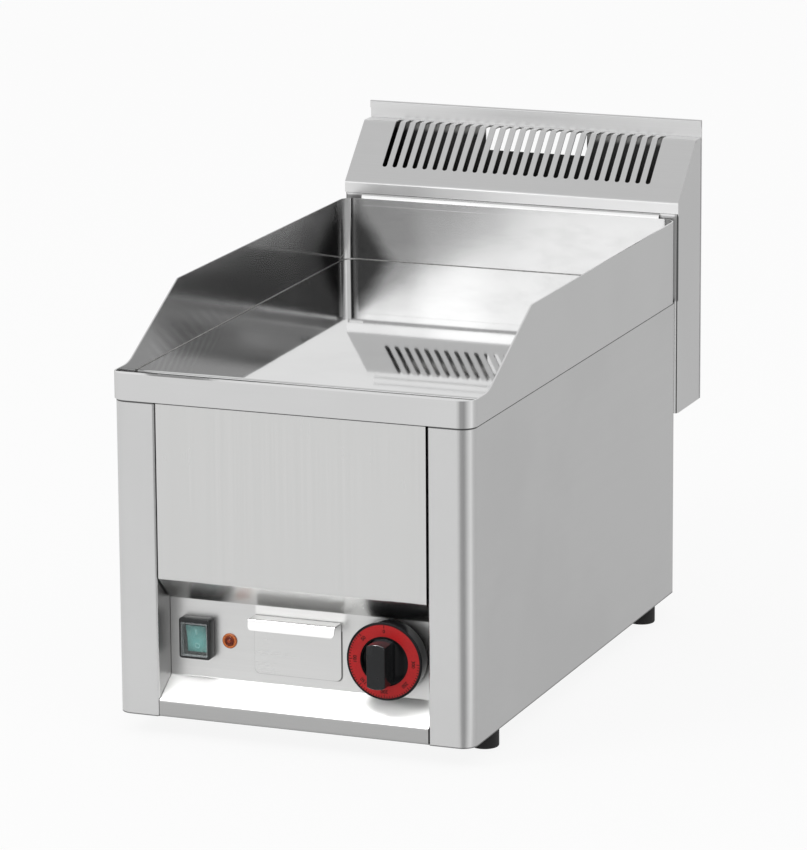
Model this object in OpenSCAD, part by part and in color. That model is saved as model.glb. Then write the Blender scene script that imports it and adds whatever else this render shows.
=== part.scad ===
// Counter-top flat top griddle: folded sheet casing, splash-walled pan, mirror
// finished plate with a grease gutter and drawer, and a slotted flue at the rear.
// Z = 0 is the counter, X = 0 the middle plane. Inside the modules Y = 0 is the
// front face of the body; make() then moves the whole object's middle onto Y = 0.

/* [Body] */
// Width over the pan
pan_w = 332; // [300:1:400]
// Depth of the body, front face to rear face
body_d = 538; // [480:1:640]
// Height of the body's walls, from their lower edge to the pan's skirt
body_h = 279.5; // [250:0.5:330]
// Thickness of the casing sheet
sheet = 1.5; // [1:0.1:2]
// Inner radius of the sheet's ordinary bends
bend_r = 1; // [0.6:0.1:2]
// Outer radius of the body's front corners
corner_r = 13; // [8:0.5:16]
// Width of each front post
post_w = 39.6; // [32:0.1:48]
// Gap between the front panel and a post
seam = 1.3; // [0.5:0.1:2]

/* [Control recess] */
// Depth of the recess behind the front face
recess_d = 27; // [22:0.5:32]
// Height of the lower lip
lip_h = 14.7; // [10:0.1:20]
// Rise of the sill that slopes back from the lip
sill_rise = 16.8; // [10:0.1:24]
// Height of the upright control face
face_h = 66.8; // [66.4:0.1:90]
// Rise of the soffit that slopes forward over the controls
soffit_rise = 25.7; // [22:0.1:30]

/* [Pan] */
// Height of the skirt, lower edge to rim
skirt_h = 23.5; // [20:0.5:32]
// Depth of the rolled front rim
rim_w = 7.5; // [6:0.5:10]
// Radius of the roll along the front rim
rim_r = 2.4; // [1.5:0.1:3]
// Outer radius of the pan's rear corners
pan_rear_r = 14; // [10:0.5:18]
// Height of the splash walls above the rim
splash_h = 53.4; // [30:0.1:90]
// Distance from the front face to the foot of the splash walls' slope
splash_start = 38.6; // [34:0.2:80]
// Slope of the splash walls' front edge, in degrees
splash_angle = 26.6; // [20:0.2:45]

/* [Plate and gutter] */
// Thickness of the griddle plate
plate_t = 10; // [8:0.5:12]
// Distance from the front face to the plate's front edge
plate_y = 52; // [46:0.5:70]
// Drop of the plate's front edge below the rim
plate_drop = 8.9; // [7:0.1:12]
// Fall of the plate towards the gutter, in degrees
plate_fall = 0.42; // [0:0.02:1]
// Outer diameter of the drain spout
spout_d = 18; // [12:0.5:18]

/* [Flue] */
// Depth of the flue, front to back
flue_d = 69.6; // [55:0.2:100]
// Gap between the body's rear face and the flue
flue_gap = 3.4; // [3:0.1:6]
// Height of the flue's lower edge above the counter
flue_bottom = 189.5; // [120:0.5:240]
// Gap between the splash walls' top and the cover's lip
flue_lip_gap = 4.5; // [3:0.1:8]
// Height of the cover's lip
flue_lip_h = 10.3; // [8:0.1:20]
// Rise of the cover's slope
flue_slope_rise = 50.4; // [35:0.2:60]
// Depth of the level ledge behind the slope
flue_ledge = 18.5; // [14:0.5:26]
// Height of the upstand above the ledge
upstand_h = 16.4; // [10:0.2:25]
// Number of slots in the cover
slots = 27; // [9:2:27]
// Distance from slot to slot
slot_pitch = 10.1; // [7:0.1:10.5]
// Width of a slot
slot_w = 4.6; // [3:0.1:5]
// Width of the outlet window in the flue's back
window_w = 101.6; // [60:0.1:160]
// Distance of the outlet window's middle from the middle plane
window_side = 1.9; // [-10:0.1:10]

/* [Controls] */
// Distance from the right post to the thermostat knob's axis
knob_side = 42.3; // [36:0.1:48]
// Diameter of the knob's face
knob_d = 69; // [56:0.2:69.4]
// Depth of the knob from its face back to its rear edge
knob_skirt_d = 17.5; // [13:0.5:19]
// Length of the grip in front of the knob's face
grip_reach = 20; // [12:0.5:24]
// Width of the grip
grip_w = 16.4; // [12:0.2:18]
// Length of the grip across the knob
grip_l = 39.6; // [32:0.2:42]
// Diameter of the thermostat's shaft
shaft_d = 6; // [5:0.5:8]
// Running clearance of the shaft and pins, on the radius
run_gap = 0.05; // [0.02:0.01:0.09]
// Distance from the left post to the middle of the switch
switch_side = 26.8; // [20:0.1:30]
// Width of the switch frame
switch_w = 29.2; // [27:0.2:32]
// Height of the switch frame
switch_h = 36.2; // [34:0.2:40]
// How far the switch frame stands out of the control face
switch_reach = 10; // [9:0.5:12]
// Swing of the rocker between off and on, in degrees
rocker_swing = 18; // [8:1:20]
// Distance from the middle of the switch to the signal lamp
lamp_side = 29.1; // [24:0.1:34]
// Diameter of the lamp's lens
lamp_d = 13.5; // [10:0.1:16]

/* [Drawer] */
// Gap between the lamp and the drawer front
lamp_gap = 17.2; // [12:0.1:24]
// Gap between the drawer front and the knob
knob_gap = 12.85; // [8:0.05:20]
// Height of the drawer front's lower edge above the body's lower edge
drawer_z = 40.5; // [36:0.5:44]
// Height of the drawer front
drawer_h = 52.6; // [40:0.1:54]
// Length of the drawer's tray
tray_l = 240; // [120:1:300]
// Reach of the drawer's handle
handle_reach = 14.2; // [10:0.1:20]
// Length of the handle's turned-down edge
handle_flap = 8.9; // [6:0.1:12]
// Sliding clearance round the tray
slide_gap = 0.3; // [0.2:0.05:0.5]

/* [Feet] */
// Height of the feet
foot_h = 18; // [12:0.5:30]
// Diameter of the feet
foot_d = 25; // [20:0.5:28]
// Distance of the front feet's centres from the front face
foot_front_y = 72; // [45:1:100]
// Distance of the rear feet's centres from the rear face
foot_rear_y = 47; // [40:1:100]
// Distance of the feet's centres from the body's sides
foot_side = 15.5; // [14:0.5:24]

/* [Hidden] */

$fn = 48;
eps = 0.01;
seat = 0.3;                                // gap between pieces that are slid together

// Body
body_x = pan_w/2 - sheet;                  // outer face of a side panel
in_x = body_x - sheet;                     // inner face of a side panel
post_x = body_x - post_w;                  // inner edge of a post
z0 = foot_h;                               // lower edge of the body
floor_z = z0 + sheet;                      // top of the turned-in lower flanges
lip_z = z0 + lip_h;
face_z = lip_z + sill_rise;
soffit_z = face_z + face_h;
brow_z = soffit_z + soffit_rise;
skirt_z = z0 + body_h;                     // lower edge of the pan's skirt
flange = 12;                               // depth of an ordinary flange
wide_flange = 18;                          // depth of a flange that takes screws
foot_x = body_x - foot_side;               // feet, either side of the middle plane
joint_h = 16;                              // lap of the control panel behind the soffit
rail_w = 30;                               // width of the side panels' lower flanges
back_y = body_d - sheet;                   // rear face of the rear panel
lap_y = recess_d + 18;                     // rear edge of the control panel's lower flange
return_d = 8;                              // depth of a post's return behind the control face

// Pan and plate
rim_z = skirt_z + skirt_h;
splash_z = rim_z + splash_h;
pan_in = pan_w/2 - sheet;
pan_front_r = corner_r + sheet;            // outer radius of the pan's front corners
pan_len = body_d + 2*sheet;
plate_z = rim_z - plate_drop;              // top of the plate at its front edge
plate_len = (body_d - plate_y)/cos(plate_fall);
top_z = plate_z - plate_t - seat;          // upper edge of the body's walls
gutter_z = plate_z - plate_t + sheet;      // bottom of the gutter, inside
gutter_y = rim_w - sheet;                  // front wall of the gutter, inside
gutter_back = plate_y - sheet;             // rear wall of the gutter, inside
gutter_r = 3;
spout_y = (recess_d + sheet + plate_y)/2 - 0.9;
spout_end = z0 + drawer_z + drawer_h + 1.2;
flange_half = pan_w/2 - pan_rear_r - 4;    // half width of the rear wall's top flange
flange_lean = 1.3;                         // how far the flange leans back up to the lip
crease_drop = 6.6;                         // from the rear wall's top down to its pressed line

// Flue
flue_y = body_d + flue_gap;                // front plane of the flue
flue_back_y = flue_y + flue_d;             // rear face of the flue
lip_low_z = splash_z + flue_lip_gap;
lip_top_z = lip_low_z + flue_lip_h;
ledge_z = lip_top_z + flue_slope_rise;
ledge_y = flue_back_y - flue_ledge;
slope_run = ledge_y - flue_y;
slope_angle = atan2(flue_slope_rise, slope_run);
upstand_z = ledge_z + upstand_h;
hem_gap = 0.4;
hem_h = 7;
duct_w = 250;
duct_low = flue_bottom + 12;
duct_high = skirt_z - 12;

// Controls, all on the control face
panel_y = recess_d;                        // front of the control face
panel_back = panel_y + sheet;
knob_x = post_x - knob_side;
knob_z = face_z + face_h/2 + 3.5;
knob_back = panel_y - 4;
knob_face = knob_back - knob_skirt_d;
knob_wall = 2.5;
ring_t = 0.8;
ring_out = knob_d/2 - 2;
ring_in = 21.9;
switch_x = switch_side - post_x;
switch_z = face_z + face_h/2 + 2.1;
switch_face = panel_y - switch_reach;
cut_w = 22;
cut_h = 28;
rocker_w = 18;
rocker_h = 23.4;
rocker_y = panel_y - 3;                    // axis of the rocker
lamp_x = switch_x + lamp_side;
lamp_z = face_z + face_h/2 + 1.5;

// Drawer
front_t = 1.2;
drawer_left = lamp_x + lamp_d/2 + lamp_gap;
drawer_right = knob_x - knob_d/2 - knob_gap;
drawer_w = drawer_right - drawer_left;
drawer_x = (drawer_left + drawer_right)/2;
drawer_low = z0 + drawer_z;
drawer_high = drawer_low + drawer_h;
front_y = panel_y - slide_gap - front_t;   // front of the drawer front
tray_t = 1;
tray_w = drawer_w - 9;
tray_low = drawer_low + 4;
tray_high = drawer_high - 6;
open_w = tray_w + 4*slide_gap + 2*sheet;   // opening in the control face
guide_w = tray_w + 2*slide_gap;            // inside of the guide
guide_low = tray_low - slide_gap;          // floor of the guide
guide_end = panel_back + tray_l + 12;

// Depth of the whole object, and its middle
front_most = min(knob_face - grip_reach, -sheet);
mid_y = (front_most + flue_back_y)/2;

steel = "#c9ccce";
polished = "#e4e6e8";
zinc = "#a8adb2";
black = "#26272a";
rubber = "#303030";

// ---- shared shapes -------------------------------------------------------

// Every sub-part is coloured and moved into the object's frame here
module make(tint) color(tint) translate([0, -mid_y, 0]) children();

// Profile in Y and Z, extruded along X about the middle plane
module across(w) rotate([90, 0, 90]) linear_extrude(w, center = true) children();

// Profile in X and Z, extruded along Y from y0 to y1
module along(y0, y1)
    translate([0, y1, 0]) rotate([90, 0, 0]) linear_extrude(y1 - y0) children();

// Round bar along Y from y0 to y1
module bar_y(d, y0, y1) translate([0, y0, 0]) rotate([-90, 0, 0]) cylinder(d = d, h = y1 - y0);

// Block from its lowest corner to its highest
module block(a, b) translate(a) cube(b - a);

// Hexagonal bar, size across the flats
module hex(across_flats, h) cylinder(d = across_flats/cos(30), h = h, $fn = 6);

// The square corner outside a quarter circle: cut away, it rounds a corner
module corner_cut(r) difference() {
    square(r + eps);
    circle(r);
}

// Right-hand normal of the line from p to q
function right(p, q) = [q.y - p.y, p.x - q.x]/norm(q - p);

// Vector that is one unit off both lines whose normals are n1 and n2
function miter(n1, n2) = 2*(n1 + n2)/((n1 + n2)*(n1 + n2));

// Angle from direction u to direction v, positive to the left
function turn(u, v) = atan2(u.x*v.y - u.y*v.x, u*v);

// Points on the arc of radius r about c that starts in direction u and turns by a
function arc(c, r, u, a, steps) = [for (k = [0:steps])
    let (b = atan2(u.y, u.x) + a*k/steps) c + r*[cos(b), sin(b)]];

// Profile of a folded sheet: follows the points with the material on the right-hand
// side. Each inner point is a bend, and radii gives its inner radius. A bend is drawn
// in short flats, bend_step degrees each; a radius of 0 leaves it sharp.
bend_step = 15;

module folded(points, t = sheet, radii = []) {
    n = len(points);
    last = n - 2;
    nr = [for (i = [0:last]) right(points[i], points[i + 1])];
    inner = [for (i = [0:last + 1]) radii[i] == undef ? bend_r : radii[i]];
    bent = [for (i = [1:last]) turn(nr[i - 1], nr[i])];
    hub = [for (i = [1:last]) points[i] + miter(nr[i - 1], nr[i])*(bent[i - 1] > 0 ? -inner[i] : inner[i] + t)];
    near = [for (i = [1:last]) let (a = bent[i - 1])
        for (q = arc(hub[i - 1], a > 0 ? inner[i] : -inner[i] - t, nr[i - 1], a, ceil(abs(a)/bend_step))) q];
    far = [for (i = [last:-1:1]) let (a = bent[i - 1])
        for (q = arc(hub[i - 1], a > 0 ? inner[i] + t : -inner[i], nr[i], -a, ceil(abs(a)/bend_step))) q];
    polygon(concat([points[0]], near, [points[n - 1], points[n - 1] + t*nr[last]], far,
        [points[0] + t*nr[0]]));
}

// Plan of the pan, set in from its outer face
module pan_plan(inset = 0) {
    w = pan_w/2 - inset;
    rf = pan_front_r - inset;
    rr = pan_rear_r - inset;
    y0 = inset - sheet;
    y1 = body_d + sheet - inset;
    difference() {
        translate([-w, y0]) square([2*w, y1 - y0]);
        for (s = [0, 1]) mirror([s, 0]) {
            translate([w - rf, y0 + rf]) mirror([0, 1]) corner_cut(rf);
            translate([w - rr, y1 - rr]) corner_cut(rr);
        }
    }
}

// The plate's own frame: origin on its top face at the front edge, Y up the fall
module on_plate() translate([0, plate_y, plate_z]) rotate([plate_fall, 0, 0]) children();

// Copies at the four feet
module at_feet()
    for (s = [-1, 1], y = [foot_front_y, body_d - foot_rear_y]) translate([s*foot_x, y, 0]) children();

// Copies at the screws through the rear panel's edges; the axis points back
rear_screw_x = body_x - wide_flange/2;
screw_low = 22;                            // lowest screws above the body's lower edge
screw_high = 26;                           // upper screws below the flue
module at_rear_screws()
    for (s = [-1, 1], z = [z0 + screw_low, flue_bottom - screw_high]) translate([s*rear_screw_x, 0, z]) children();

// Copies at the screws that hold the flue
flue_screw_in = 14;                        // from the flue's lower edge, and from the pan
module at_flue_screws()
    for (s = [-1, 1], z = [flue_bottom + flue_screw_in, skirt_z - flue_screw_in])
        translate([s*rear_screw_x, 0, z]) children();

// ---- casing --------------------------------------------------------------

// Room for the pan's rear corners, where its skirt laps over the body
module rear_notch()
    block([body_x - pan_rear_r - 1, body_d - pan_rear_r - 1, skirt_z], [body_x + 1, body_d + 1, rim_z]);

module side_panel() {
    difference() {
        union() {
            translate([0, 0, z0]) linear_extrude(top_z - z0) difference() {
                folded([[body_x - wide_flange, body_d], [body_x, body_d], [body_x, 0], [post_x, 0],
                    [post_x, panel_back + return_d]], radii = [0, bend_r, corner_r - sheet - 1, bend_r, 0]);
                translate([body_x - corner_r, corner_r]) mirror([0, 1]) corner_cut(corner_r);
            }
            block([body_x - rail_w, lap_y + seat, z0], [in_x + eps, back_y - sheet - seat, floor_z]);
            block([in_x - flange, corner_r, top_z - sheet], [in_x + eps, body_d - 20, top_z]);
        }
        rear_notch();
        at_feet() cylinder(d = 6, h = top_z);
        at_rear_screws() bar_y(4.4, back_y - 4, body_d + 1);
        at_flue_screws() bar_y(4.4, back_y - 4, body_d + 1);
    }
}

module left_side_panel() make(steel) mirror([1, 0, 0]) side_panel();

module right_side_panel() make(steel) side_panel();

panel_half = post_x - seam;
panel_trim = 4;                            // the side flanges stop short of the bends

module front_panel() make(steel) {
    across(2*panel_half)
        folded([[panel_y, soffit_z + joint_h], [panel_y, soffit_z], [0, brow_z], [0, top_z],
            [flange, top_z]]);
    for (s = [-1, 1]) {
        x = s*(panel_half - sheet/2);
        block([x - sheet/2, sheet - eps, brow_z + panel_trim], [x + sheet/2, flange, top_z - panel_trim]);
    }
}

module control_panel() make(steel) difference() {
    across(2*(post_x - seat))
        folded([[lap_y, z0], [0, z0], [0, lip_z], [panel_y, face_z], [panel_y, soffit_z + joint_h]]);
    block([drawer_x - open_w/2, panel_y - 1, guide_low - sheet - slide_gap],
        [drawer_x + open_w/2, panel_back + 1, tray_high + 1.5]);
    translate([switch_x - cut_w/2, panel_y - 1, switch_z - cut_h/2]) cube([cut_w, sheet + 2, cut_h]);
    translate([lamp_x, 0, lamp_z]) bar_y(9, panel_y - 1, panel_back + 1);
    translate([knob_x, 0, knob_z]) {
        bar_y(10.6, panel_y - 1, panel_back + 1);
        for (s = [-1, 1]) translate([s*14, 0, 0]) bar_y(4.3, panel_y - 1, panel_back + 1);
    }
}

base_half = in_x - 0.5;
vent_l = 40;
vent_w = 4;
vent_pitch = 16;
vent_count = 11;
vent_rows = [140, body_d - 178];

module base_plate() make(zinc) difference() {
    along(panel_back + return_d + 1, back_y - sheet - seat)
        folded([[base_half, floor_z + 14], [base_half, floor_z], [-base_half, floor_z],
            [-base_half, floor_z + 14]]);
    at_feet() cylinder(d = 6, h = top_z);
    for (i = [0:vent_count - 1], y = vent_rows) translate([(i - (vent_count - 1)/2)*vent_pitch, y, 0]) {
        block([-vent_w/2, 0, 0], [vent_w/2, vent_l, top_z]);
        for (e = [0, vent_l]) translate([0, e, 0]) cylinder(d = vent_w, h = top_z);
    }
}

gland_x = 105;
gland_z = z0 + 40;
limiter_x = -95;
limiter_z = z0 + 44;
earth_x = 60;
earth_z = z0 + 24;
duct_slots = 15;
duct_pitch = duct_w/duct_slots;
duct_slot_w = 6;

module rear_panel() make(steel) difference() {
    across(2*(in_x - bend_r - seat))
        folded([[back_y - flange, top_z], [back_y, top_z], [back_y, floor_z]]);
    for (s = [0, 1]) mirror([s, 0, 0]) rear_notch();
    for (i = [0:duct_slots - 1]) translate([(i - (duct_slots - 1)/2)*duct_pitch, 0, 0]) {
        block([-duct_slot_w/2, back_y - 4, duct_low + 6], [duct_slot_w/2, body_d, duct_high - 6]);
        for (z = [duct_low + 6, duct_high - 6]) translate([0, 0, z]) bar_y(duct_slot_w, back_y - 4, body_d);
    }
    translate([gland_x, 0, gland_z]) bar_y(20.2, back_y - 4, body_d);
    translate([limiter_x, 0, limiter_z]) bar_y(10.2, back_y - 4, body_d);
    translate([earth_x, 0, earth_z]) bar_y(6.2, back_y - 4, body_d);
    at_rear_screws() bar_y(4.4, back_y - 4, body_d);
    at_flue_screws() bar_y(4.4, back_y - 4, body_d);
}

// ---- pan and plate -------------------------------------------------------

// Outline of the side splash walls in Y and Z, with the foot of the slope filled
// by an arc and the top corner rounded
module splash_side() {
    foot_r = 40;
    top_r = 7;
    half = splash_angle/2;
    slope_y = splash_start + splash_h/tan(splash_angle);
    foot_t = foot_r*tan(half);
    top_t = top_r*tan(half);
    translate([-10, skirt_z - 1]) square([body_d + 30, skirt_h + 1]);
    difference() {
        polygon([[splash_start, rim_z - 1], [splash_start, rim_z], [slope_y, splash_z],
            [body_d + 20, splash_z], [body_d + 20, rim_z - 1]]);
        translate([slope_y, splash_z]) difference() {
            polygon([[0, eps], [top_t, eps], [top_t, 0], [top_t, -top_t/2],
                -top_t*[cos(splash_angle), sin(splash_angle)], [-top_t, eps]]);
            translate([top_t, -top_r]) circle(top_r);
        }
    }
    translate([splash_start, rim_z]) difference() {
        polygon([[-foot_t, -1], [-foot_t, 0], foot_t*[cos(splash_angle), sin(splash_angle)], [foot_t, -1]]);
        translate([-foot_t, foot_r]) circle(foot_r, $fn = 96);
    }
}

// Cutter that rolls over the rim's outer edge, along the front and round its corners
module rim_roll() {
    x = pan_w/2 - pan_front_r;
    y = pan_front_r - sheet;
    tail = 26;
    across(2*x) translate([rim_r - sheet, rim_z - rim_r]) mirror([1, 0]) corner_cut(rim_r);
    for (s = [0, 1]) mirror([s, 0, 0]) translate([x, y, rim_z - rim_r]) {
        rotate([0, 0, -90]) rotate_extrude(angle = 90) translate([pan_front_r - rim_r, 0]) corner_cut(rim_r);
        translate([pan_front_r - rim_r, 0, 0]) rotate([atan(rim_r/tail), 0, 0])
            rotate([90, 0, 0]) mirror([0, 0, 1]) linear_extrude(tail) corner_cut(rim_r);
    }
}

module griddle_pan() make(steel) {
    seam_z = splash_z - 14;
    difference() {
        union() {
            intersection() {
                translate([0, 0, skirt_z]) linear_extrude(splash_z - skirt_z) difference() {
                    pan_plan();
                    pan_plan(sheet);
                }
                across(pan_w + 2) splash_side();
            }
            intersection() {
                translate([0, 0, rim_z - sheet]) linear_extrude(sheet) pan_plan();
                block([-pan_w, -2*sheet, 0], [pan_w, gutter_y, top_z*2]);
            }
        }
        rim_roll();
        block([-flange_half, body_d - 1, seam_z], [flange_half, body_d + 2*sheet, splash_z + 1]);
    }
    difference() {
        across(2*flange_half) folded([[body_d, seam_z], [body_d, splash_z],
            [body_d + flange_lean, lip_low_z - seat], [flue_y + sheet - seat, lip_low_z - seat]],
            radii = [0, bend_r, 0.4, 0]);
        across(2*flange_half + 1) translate([body_d - 1, splash_z - crease_drop]) square([1.3, 0.6]);
    }
}

module griddle_plate() make(polished) {
    edge_r = 2;
    on_plate_len = plate_len + 5;
    intersection() {
        on_plate() across(pan_w) {
            translate([edge_r, -plate_t]) square([on_plate_len, plate_t]);
            translate([0, -plate_t]) square([edge_r + eps, plate_t - edge_r]);
            translate([edge_r, -edge_r]) circle(edge_r);
        }
        translate([0, 0, skirt_z]) linear_extrude(splash_z - skirt_z) pan_plan(sheet);
    }
}

module grease_gutter() make(steel) difference() {
    intersection() {
        across(pan_w) folded([[gutter_y, rim_z - sheet], [gutter_y, gutter_z], [gutter_back, gutter_z],
            [gutter_back, plate_z - 3]], radii = [0, gutter_r, gutter_r, 0]);
        translate([0, 0, skirt_z]) linear_extrude(splash_z - skirt_z) pan_plan(sheet);
    }
    translate([drawer_x, spout_y, 0]) cylinder(d = spout_d + 0.1, h = splash_z);
}

module drain_spout() make(steel) translate([drawer_x, spout_y, 0]) difference() {
    union() {
        translate([0, 0, spout_end]) cylinder(d = spout_d, h = gutter_z - spout_end);
        translate([0, 0, gutter_z - 2*sheet]) cylinder(d = spout_d + 4, h = sheet);
    }
    translate([0, 0, spout_end - 1]) cylinder(d = spout_d - 2*sheet, h = splash_z);
}

// ---- heating -------------------------------------------------------------

element_d = 8.5;
element_pitch = 52;                        // distance from leg to leg
element_start = 40;
element_end = body_d - plate_y - 34;
element_z = -plate_t - element_d/2;
clamp_t = 4;
clamp_w = 22;
clamp_z = element_z - element_d/2 - clamp_t;
clamp_rows = [90, element_end/2 + 20, element_end - 70];
stud_x = element_pitch;

// Hairpin of tube under the plate, its bend to the front and both ends to the rear
module heating_element(x) make(zinc) on_plate() translate([x, 0, element_z]) {
    for (s = [-1, 1]) translate([s*element_pitch/2, 0, 0]) {
        bar_y(element_d, element_start + element_pitch/2, element_end);
        bar_y(4, element_end, element_end + 12);
    }
    translate([0, element_start + element_pitch/2, 0]) rotate([0, 0, 180])
        rotate_extrude(angle = 180) translate([element_pitch/2, 0]) circle(d = element_d);
}

module heating_element_left() heating_element(-2*element_pitch);

module heating_element_middle() heating_element(0);

module heating_element_right() heating_element(2*element_pitch);

module at_studs() on_plate() for (s = [-1, 1], y = clamp_rows) translate([s*stud_x, y, 0]) children();

module plate_studs() make(zinc) at_studs() translate([0, 0, clamp_z - 10]) cylinder(d = 6, h = -plate_t - clamp_z + 10);

module element_clamps() make(zinc) on_plate() difference() {
    for (y = clamp_rows)
        block([-2.7*element_pitch, y - clamp_w/2, clamp_z], [2.7*element_pitch, y + clamp_w/2, clamp_z + clamp_t]);
    for (s = [-1, 1], y = clamp_rows) translate([s*stud_x, y, clamp_z - 1]) cylinder(d = 6.6, h = clamp_t + 2);
}

module clamp_nuts() make(zinc) at_studs() translate([0, 0, clamp_z - 5]) difference() {
    hex(10, 5);
    translate([0, 0, -1]) cylinder(d = 6.1, h = 7);
}

mat_t = 22;
mat_z = plate_z - plate_t - element_d - clamp_t - 11 - mat_t;
mat_x = in_x - 12;
mat_y0 = plate_y + 22;
mat_y1 = body_d - 26;

module insulation_mat() make("#d9d2bd")
    block([-mat_x, mat_y0, mat_z], [mat_x, mat_y1, mat_z + mat_t]);

module insulation_tray() make(zinc) {
    rise = mat_t + 8;
    w = in_x - seat;
    along(mat_y0 - sheet - 0.5, mat_y1 + sheet + 0.5)
        folded([[w, mat_z + rise], [w, mat_z - sheet], [-w, mat_z - sheet], [-w, mat_z + rise]]);
    for (y = [mat_y0 - sheet - 0.5, mat_y1 + 0.5])
        block([-w + 3, y, mat_z - eps], [w - 3, y + sheet, mat_z + mat_t/2]);
}

// ---- thermostat ----------------------------------------------------------

neck_d = 10;
case_y = panel_back + 2;
case_d = 34;
bulb_d = 6;
bulb_l = 90;
bulb_x = 10 - element_pitch;
bulb_y = clamp_rows[0] + 30;
clip_t = 1.2;
bulb_z = -plate_t - bulb_d/2;

module thermostat_body() make("#d8d4c8") translate([knob_x, 0, knob_z]) difference() {
    union() {
        translate([-17, case_y, -20]) cube([34, case_d, 40]);
        block([-20, panel_back, -8], [20, case_y + eps, 8]);
        bar_y(neck_d, panel_y - 1, case_y + 1);
        for (x = [-10, 0, 10]) block([x - 3, case_y + case_d - 1, 6], [x + 3, case_y + case_d + 8, 6.8]);
    }
    bar_y(shaft_d + 2*run_gap, panel_y - 5, case_y + 12);
    for (s = [-1, 1]) translate([s*14, 0, 0]) bar_y(3.4, panel_back - 1, case_y + 5);
}

module thermostat_shaft() make(zinc) translate([knob_x, 0, knob_z]) difference() {
    bar_y(shaft_d, knob_face + 2, case_y + 11.7);
    block([-shaft_d, 0, shaft_d/2 - 1.2], [shaft_d, knob_back - 1, shaft_d]);
}

module thermostat_screws() make(zinc) translate([knob_x, 0, knob_z])
    for (s = [-1, 1]) translate([s*14, 0, 0]) {
        bar_y(3.2, panel_y - 1, case_y + 4.5);
        difference() {
            bar_y(6.6, panel_y - 2, panel_y);
            block([-4, panel_y - 3, -0.5], [4, panel_y - 1.2, 0.5]);
        }
    }

module thermostat_bulb() make("#b87a4b") on_plate()
    translate([bulb_x, 0, bulb_z]) {
        bar_y(bulb_d, bulb_y, bulb_y + bulb_l);
        translate([0, bulb_y, 0]) sphere(d = bulb_d);
    }

// Saddle that holds the bulb up against the plate
module bulb_clip() make(zinc) on_plate() translate([bulb_x, 0, 0]) difference() {
    y = bulb_y + bulb_l/2 - 8;
    union() {
        translate([0, 0, bulb_z]) bar_y(bulb_d + 2*clip_t, y, y + 16);
        block([-9.5, y, -plate_t - clip_t], [9.5, y + 16, -plate_t]);
    }
    translate([0, 0, bulb_z]) bar_y(bulb_d, y - 1, y + 17);
    block([-bulb_d/2, y - 1, bulb_z], [bulb_d/2, y + 17, -plate_t]);
    block([-20, y - 1, -plate_t], [20, y + 17, 0]);
}

// Fine tube from the thermostat up to the bulb, beside the insulation tray
tube_d = 2;
tube_start = [knob_x, case_y + case_d, knob_z - 10];
tube_end = [bulb_x, bulb_y + plate_y - bulb_d/2, plate_z + bulb_z + sin(plate_fall)*bulb_y];
tube_path = [tube_start, tube_start + [0, 14, 0], [knob_x + 26, tube_start.y + 14, knob_z + 40],
    [knob_x + 26, mat_y0 - 10, mat_z - 14], [knob_x + 26, mat_y0 - 10, tube_end.z],
    [bulb_x, mat_y0 - 10, tube_end.z], tube_end];

module rod(p, q, d) {
    v = q - p;
    translate(p) rotate([0, acos(v.z/norm(v)), atan2(v.y, v.x)]) cylinder(d = d, h = norm(v));
}

module thermostat_capillary() make("#b87a4b") {
    for (i = [0:len(tube_path) - 2]) rod(tube_path[i], tube_path[i + 1], tube_d);
    for (i = [1:len(tube_path) - 2]) translate(tube_path[i]) sphere(d = tube_d + 0.3);
}

// ---- knob ----------------------------------------------------------------

// Profile in radius and depth, turned about the knob's axis; depth runs back from the face
module knob_turned() translate([knob_x, knob_face, knob_z]) rotate([-90, 0, 0]) rotate_extrude($fn = 96) children();

boss_d = 13;
hollow_d = 5.5;                            // depth of the thumb hollows
hollow_r = 11;

module knob_skirt() make(black) difference() {
    knob_turned() difference() {
        polygon([[0, 1.2], [ring_in - 0.8, 1.2], [ring_in - 0.8, 0.4], [ring_in, ring_t], [ring_out, ring_t],
            [ring_out, 0], [knob_d/2 - 1, 0], [knob_d/2, 1], [knob_d/2 - 1.5, knob_skirt_d],
            [0, knob_skirt_d]]);
        polygon([[boss_d/2, hollow_d + knob_wall], [ring_in + 1, hollow_d + knob_wall],
            [ring_in + 2, 1.2 + knob_wall], [knob_d/2 - knob_wall - 2, 1.2 + knob_wall],
            [knob_d/2 - knob_wall - 1.5, knob_skirt_d + 1], [boss_d/2, knob_skirt_d + 1]]);
        translate([0, knob_skirt_d - 1.6]) square([boss_d/2 + 1, 3]);
    }
    for (s = [-1, 1]) intersection() {
        translate([knob_x, 0, knob_z]) bar_y(2*ring_in - 2.4, knob_face, knob_back);
        translate([knob_x + s*(grip_w/2 + hollow_r - 0.8), knob_face + hollow_d - hollow_r, knob_z - ring_in])
            cylinder(r = hollow_r, h = 2*ring_in);
    }
    translate([knob_x, 0, knob_z]) difference() {
        bar_y(shaft_d + 0.04, knob_face + 1.6, knob_back + 1);
        block([-shaft_d, knob_face, shaft_d/2 - 1.18], [shaft_d, knob_back - 1, shaft_d]);
    }
}

module dial_ring() make("#c8282a") knob_turned()
    translate([ring_in, 0]) square([ring_out - ring_in, ring_t]);

// Finger grip: a straight bar with rounded ends, stepped in a little at its front
module grip_plan(inset) intersection() {
    square([grip_w - 2*inset, grip_l - 2*inset], center = true);
    circle(d = grip_l - 2*inset, $fn = 96);
}

module knob_grip() make(black) translate([knob_x, knob_face, knob_z]) rotate([90, 0, 0]) {
    translate([0, 0, -1.2]) linear_extrude(grip_reach + 0.2) grip_plan(0);
    translate([0, 0, grip_reach - 1 - eps]) linear_extrude(1 + eps) grip_plan(0.6);
}

// ---- switch and lamp -----------------------------------------------------

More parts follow.
